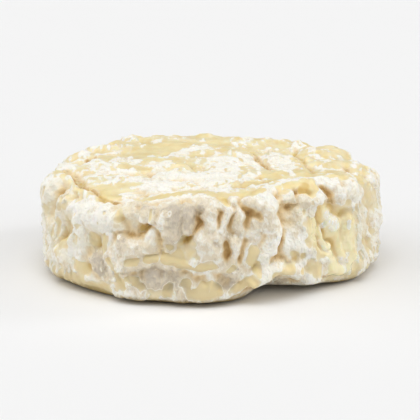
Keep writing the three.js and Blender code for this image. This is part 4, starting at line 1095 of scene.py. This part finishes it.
def rind_surface():
    """What the look is worked out from: the mesh's attributes, noise of several sizes, and the
    bloom's ragged edge."""
    place = add_node("ShaderNodeTexCoord").outputs["Object"]
    upright = add_node("ShaderNodeMapping", {"Vector": place, "Scale": THREAD_STRETCH}).outputs[0]
    wetness_and_highlight = read_attribute("wet")
    coarse = grainy(place, COARSE_GRAIN)
    fine = grainy(place, FINE_GRAIN)
    threads = grainy(upright, THREAD_GRAIN, roughness=0.6)
    ragged = plus(times(minus(coarse, 0.5), 0.9), times(minus(fine, 0.5), 0.4))
    edge = plus(read_attribute("cover"), ragged)
    return SimpleNamespace(
        place=place,
        broad=grainy(place, BROAD_GRAIN, detail=2),
        coarse=coarse,
        fine=fine,
        off_thread=calculate("ABSOLUTE", minus(threads, 0.5)),
        edge=edge,
        mould=soften(edge, -0.08, 0.2),
        crevice_tint_and_shade=read_attribute("crevice_tint_and_shade"),
        age_and_shade=read_attribute("age_and_shade"),
        thinness=read_attribute("thinness"),
        wet=calculate("MINIMUM", wetness_and_highlight, 1.0),
        milky_highlight=soften(wetness_and_highlight, 1.1, 1.9),
    )


def paste_colour(skin):
    """Pale and deep yellow, golden in its pits, veiled by the thinnest bloom. Painted shade darkens
    the paste that faces sideways, and the gold in pits is partly painted shade; the moist patch's
    pale folds and white flecks are partly painted highlight.
    """
    upward = height_of(add_node("ShaderNodeNewGeometry").outputs["Normal"])
    paste = blend_colour(soften(skin.broad, 0.3, 0.7), PASTE_PALE, PASTE_DEEP)
    # Painted shade: paste that faces sideways is darkened, but not on the moist patch.
    paste = blend_colour(minus(soften(upward, 0.8, 0.2, 0, 0.8), skin.wet), paste, PASTE_SIDE_SHADE)
    # Aged paste: partly real age, partly painted shade.
    paste = blend_colour(soften(skin.age_and_shade, 0.6, 1.7, 0, 0.9), paste, PASTE_AGED_AND_SHADED)
    moist = times(skin.wet, soften(skin.broad, 0.4, 0.65, 0.9, 0.3))
    paste = blend_colour(moist, paste, PASTE_MOIST)
    # Gold in the pits: partly the paste's own colour, partly painted shade.
    paste = blend_colour(soften(skin.crevice_tint_and_shade, 0.2, 1.2), paste, PASTE_GOLD_AND_SHADE)
    # The veil is thin bloom over the paste, and on the pale folds partly painted highlight.
    veil = times_plus(skin.milky_highlight, 0.65, soften(skin.edge, -1.1, 0.1, 0, 0.28))
    paste = blend_colour(veil, paste, BLOOM_BRIGHT)
    # Painted highlight: white flecks on the pale folds.
    highlight_flecks = times(skin.milky_highlight, soften(skin.fine, 0.54, 0.62))
    return blend_colour(highlight_flecks, paste, HIGHLIGHT_FLECK_WHITE)


def bloom_colour(skin):
    """White threads and rims over a beige or grey nap, warm and brown in crevices. The beige and grey
    are partly aged bloom and partly painted shade, and the warm and brown in crevices are partly the
    rind's own colour and partly painted shade.
    """
    nap = times_plus(skin.fine, 0.3, skin.coarse)
    # Beige and grey: partly aged bloom, partly painted shade.
    worn_and_shaded = plus(skin.age_and_shade, soften(nap, 0.4, 0.9, 0.4, -0.4))
    worn_and_shaded = plus(worn_and_shaded, soften(skin.broad, 0.35, 0.65, 0.3, -0.3))
    worn_and_shaded = minus(worn_and_shaded, soften(skin.off_thread, 0, 0.06, 0.3, 0))
    worn_and_shaded = times(worn_and_shaded, soften(skin.edge, 0.1, 0.5))
    velvet = blend_colour(soften(worn_and_shaded, 0, 1), BLOOM_BRIGHT, BLOOM_BEIGE_AND_SHADE)
    velvet = blend_colour(soften(worn_and_shaded, 1, 2), velvet, BLOOM_GREY_AND_SHADE)
    # Warm and brown in crevices: partly the rind's own colour, partly painted shade.
    velvet = blend_colour(soften(skin.crevice_tint_and_shade, 0, 0.7, 0, 0.8), velvet, BLOOM_WARM_AND_SHADE)
    return blend_colour(soften(skin.crevice_tint_and_shade, 0.5, 1.3, 0, 0.95), velvet, BLOOM_BROWN_AND_SHADE)


def foot_shade(skin):
    """1 at the foot: painted contact shade, dark and brown, where the wheel stands on the table."""
    shaded_height = times_plus(skin.broad, FOOT_RAGGED, FOOT_LOW)
    return soften(calculate("DIVIDE", height_of(skin.place), shaded_height), 1, 0.2, 0, 0.9)


def fine_relief(skin):
    """The bloom's down and threads, and the wrinkles of the moist patch."""
    raised = minus(times(skin.fine, 0.5), skin.off_thread)
    downy = times(raised, times_plus(skin.mould, 0.9, 0.1))
    wrinkles = times(times_plus(skin.wet, 0.35, 0.25), skin.coarse)
    sparkle = times(skin.milky_highlight, times(skin.fine, 0.3))
    return plus(downy, plus(wrinkles, sparkle))


def shade_rind():
    skin = rind_surface()
    opaque = minus(1.0, times(skin.thinness, 0.6))
    colour = blend_colour(times(skin.mould, opaque), paste_colour(skin), bloom_colour(skin))
    relief = {"Strength": 1.0, "Distance": BUMP_DEPTH, "Height": fine_relief(skin)}
    set_inputs(TREE.nodes["Principled BSDF"], {
        # Painted contact shade at the foot.
        "Base Color": blend_colour(foot_shade(skin), colour, FOOT_SHADE_BROWN),
        "Roughness": minus(soften(skin.mould, 0, 1, 0.42, 0.85), times(skin.wet, 0.29)),
        "Subsurface Weight": soften(skin.mould, 0, 1, 0.6, 0.2),
        "Subsurface Radius": GLOW_COLOURS,
        "Subsurface Scale": GLOW_DEPTH,
        "Normal": add_node("ShaderNodeBump", relief).outputs[0],
    })


shade_rind()
rind = build_rind()
rind.data.materials.append(RIND_LOOK)
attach(rind, "root")
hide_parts(NODE)


# --- Camera, floor and light ------------------------------------------------------------------
IMAGE_SIDE = 420  # pixels
SENSOR_WIDTH = 36  # millimetres
FOCAL_PIXELS = 1427
CAMERA_RISE = math.radians(13.5)
CAMERA_DISTANCE = 480 * MM
AIM = Vector((0, 0, 17 * MM))
AIM_PIXEL = (211.5, 210.5)
FLOOR_HALF = 3.0  # metres, from the middle of the floor to its edges
FLOOR_GAP = 0.0002  # the floor lies this far below the cheese
WORLD_STRENGTH = 0.15


def make_camera():
    data = bpy.data.cameras.new("camera")
    data.sensor_width = SENSOR_WIDTH
    data.lens = SENSOR_WIDTH * FOCAL_PIXELS / IMAGE_SIDE
    data.shift_x = (IMAGE_SIDE / 2 - AIM_PIXEL[0]) / IMAGE_SIDE
    data.shift_y = (AIM_PIXEL[1] - IMAGE_SIDE / 2) / IMAGE_SIDE
    data.clip_start = 0.01
    camera = bpy.data.objects.new("camera", data)
    back = Vector((0, -math.cos(CAMERA_RISE), math.sin(CAMERA_RISE)))
    camera.location = AIM + back * CAMERA_DISTANCE
    camera.rotation_euler = (-back).to_track_quat("-Z", "Y").to_euler()
    bpy.context.scene.collection.objects.link(camera)
    bpy.context.scene.camera = camera


def soft_sun(name, heading, rise, spread, strength):
    """A broad soft light from far away: heading and rise are where it shines from, in degrees."""
    data = bpy.data.lights.new(name, "SUN")
    data.angle = math.radians(spread)
    data.energy = strength
    light = bpy.data.objects.new(name, data)
    turn, up = math.radians(heading), math.radians(rise)
    source = Vector((math.cos(turn) * math.cos(up), math.sin(turn) * math.cos(up), math.sin(up)))
    light.rotation_euler = source.to_track_quat("Z", "Y").to_euler()
    bpy.context.scene.collection.objects.link(light)


def make_floor():
    mesh = bpy.data.meshes.new("floor")
    corners = [(-1, -1), (1, -1), (1, 1), (-1, 1)]
    mesh.from_pydata([(FLOOR_HALF * x, FLOOR_HALF * y, 0) for x, y in corners], [], [(0, 1, 2, 3)])
    floor = bpy.data.objects.new("floor", mesh)
    floor.location.z = -FLOOR_GAP
    material = bpy.data.materials.new("white_table")
    material.use_nodes = True
    shader = material.node_tree.nodes["Principled BSDF"]
    shader.inputs["Base Color"].default_value = TABLE_WHITE
    shader.inputs["Roughness"].default_value = 1
    shader.inputs["Specular IOR Level"].default_value = 0
    floor.data.materials.append(material)
    bpy.context.scene.collection.objects.link(floor)
    floor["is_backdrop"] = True


def make_world():
    world = bpy.data.worlds.new("studio")
    world.use_nodes = True
    background = world.node_tree.nodes["Background"]
    background.inputs["Color"].default_value = STUDIO_GREY
    background.inputs["Strength"].default_value = WORLD_STRENGTH
    bpy.context.scene.world = world
    bpy.context.scene.view_settings.view_transform = "Standard"


make_camera()
make_floor()
make_world()
soft_sun("overhead", -90, 78, 40, 0.98)
soft_sun("left_fill", 190, 40, 75, 1.5)
soft_sun("right_fill", -32, 40, 75, 1.1)
soft_sun("glint", 12, 28, 16, 0.5)

boxes = {"cad": CAD_BOX, "visual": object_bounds()}
{name: [list(corner) for corner in box] for name, box in boxes.items()}
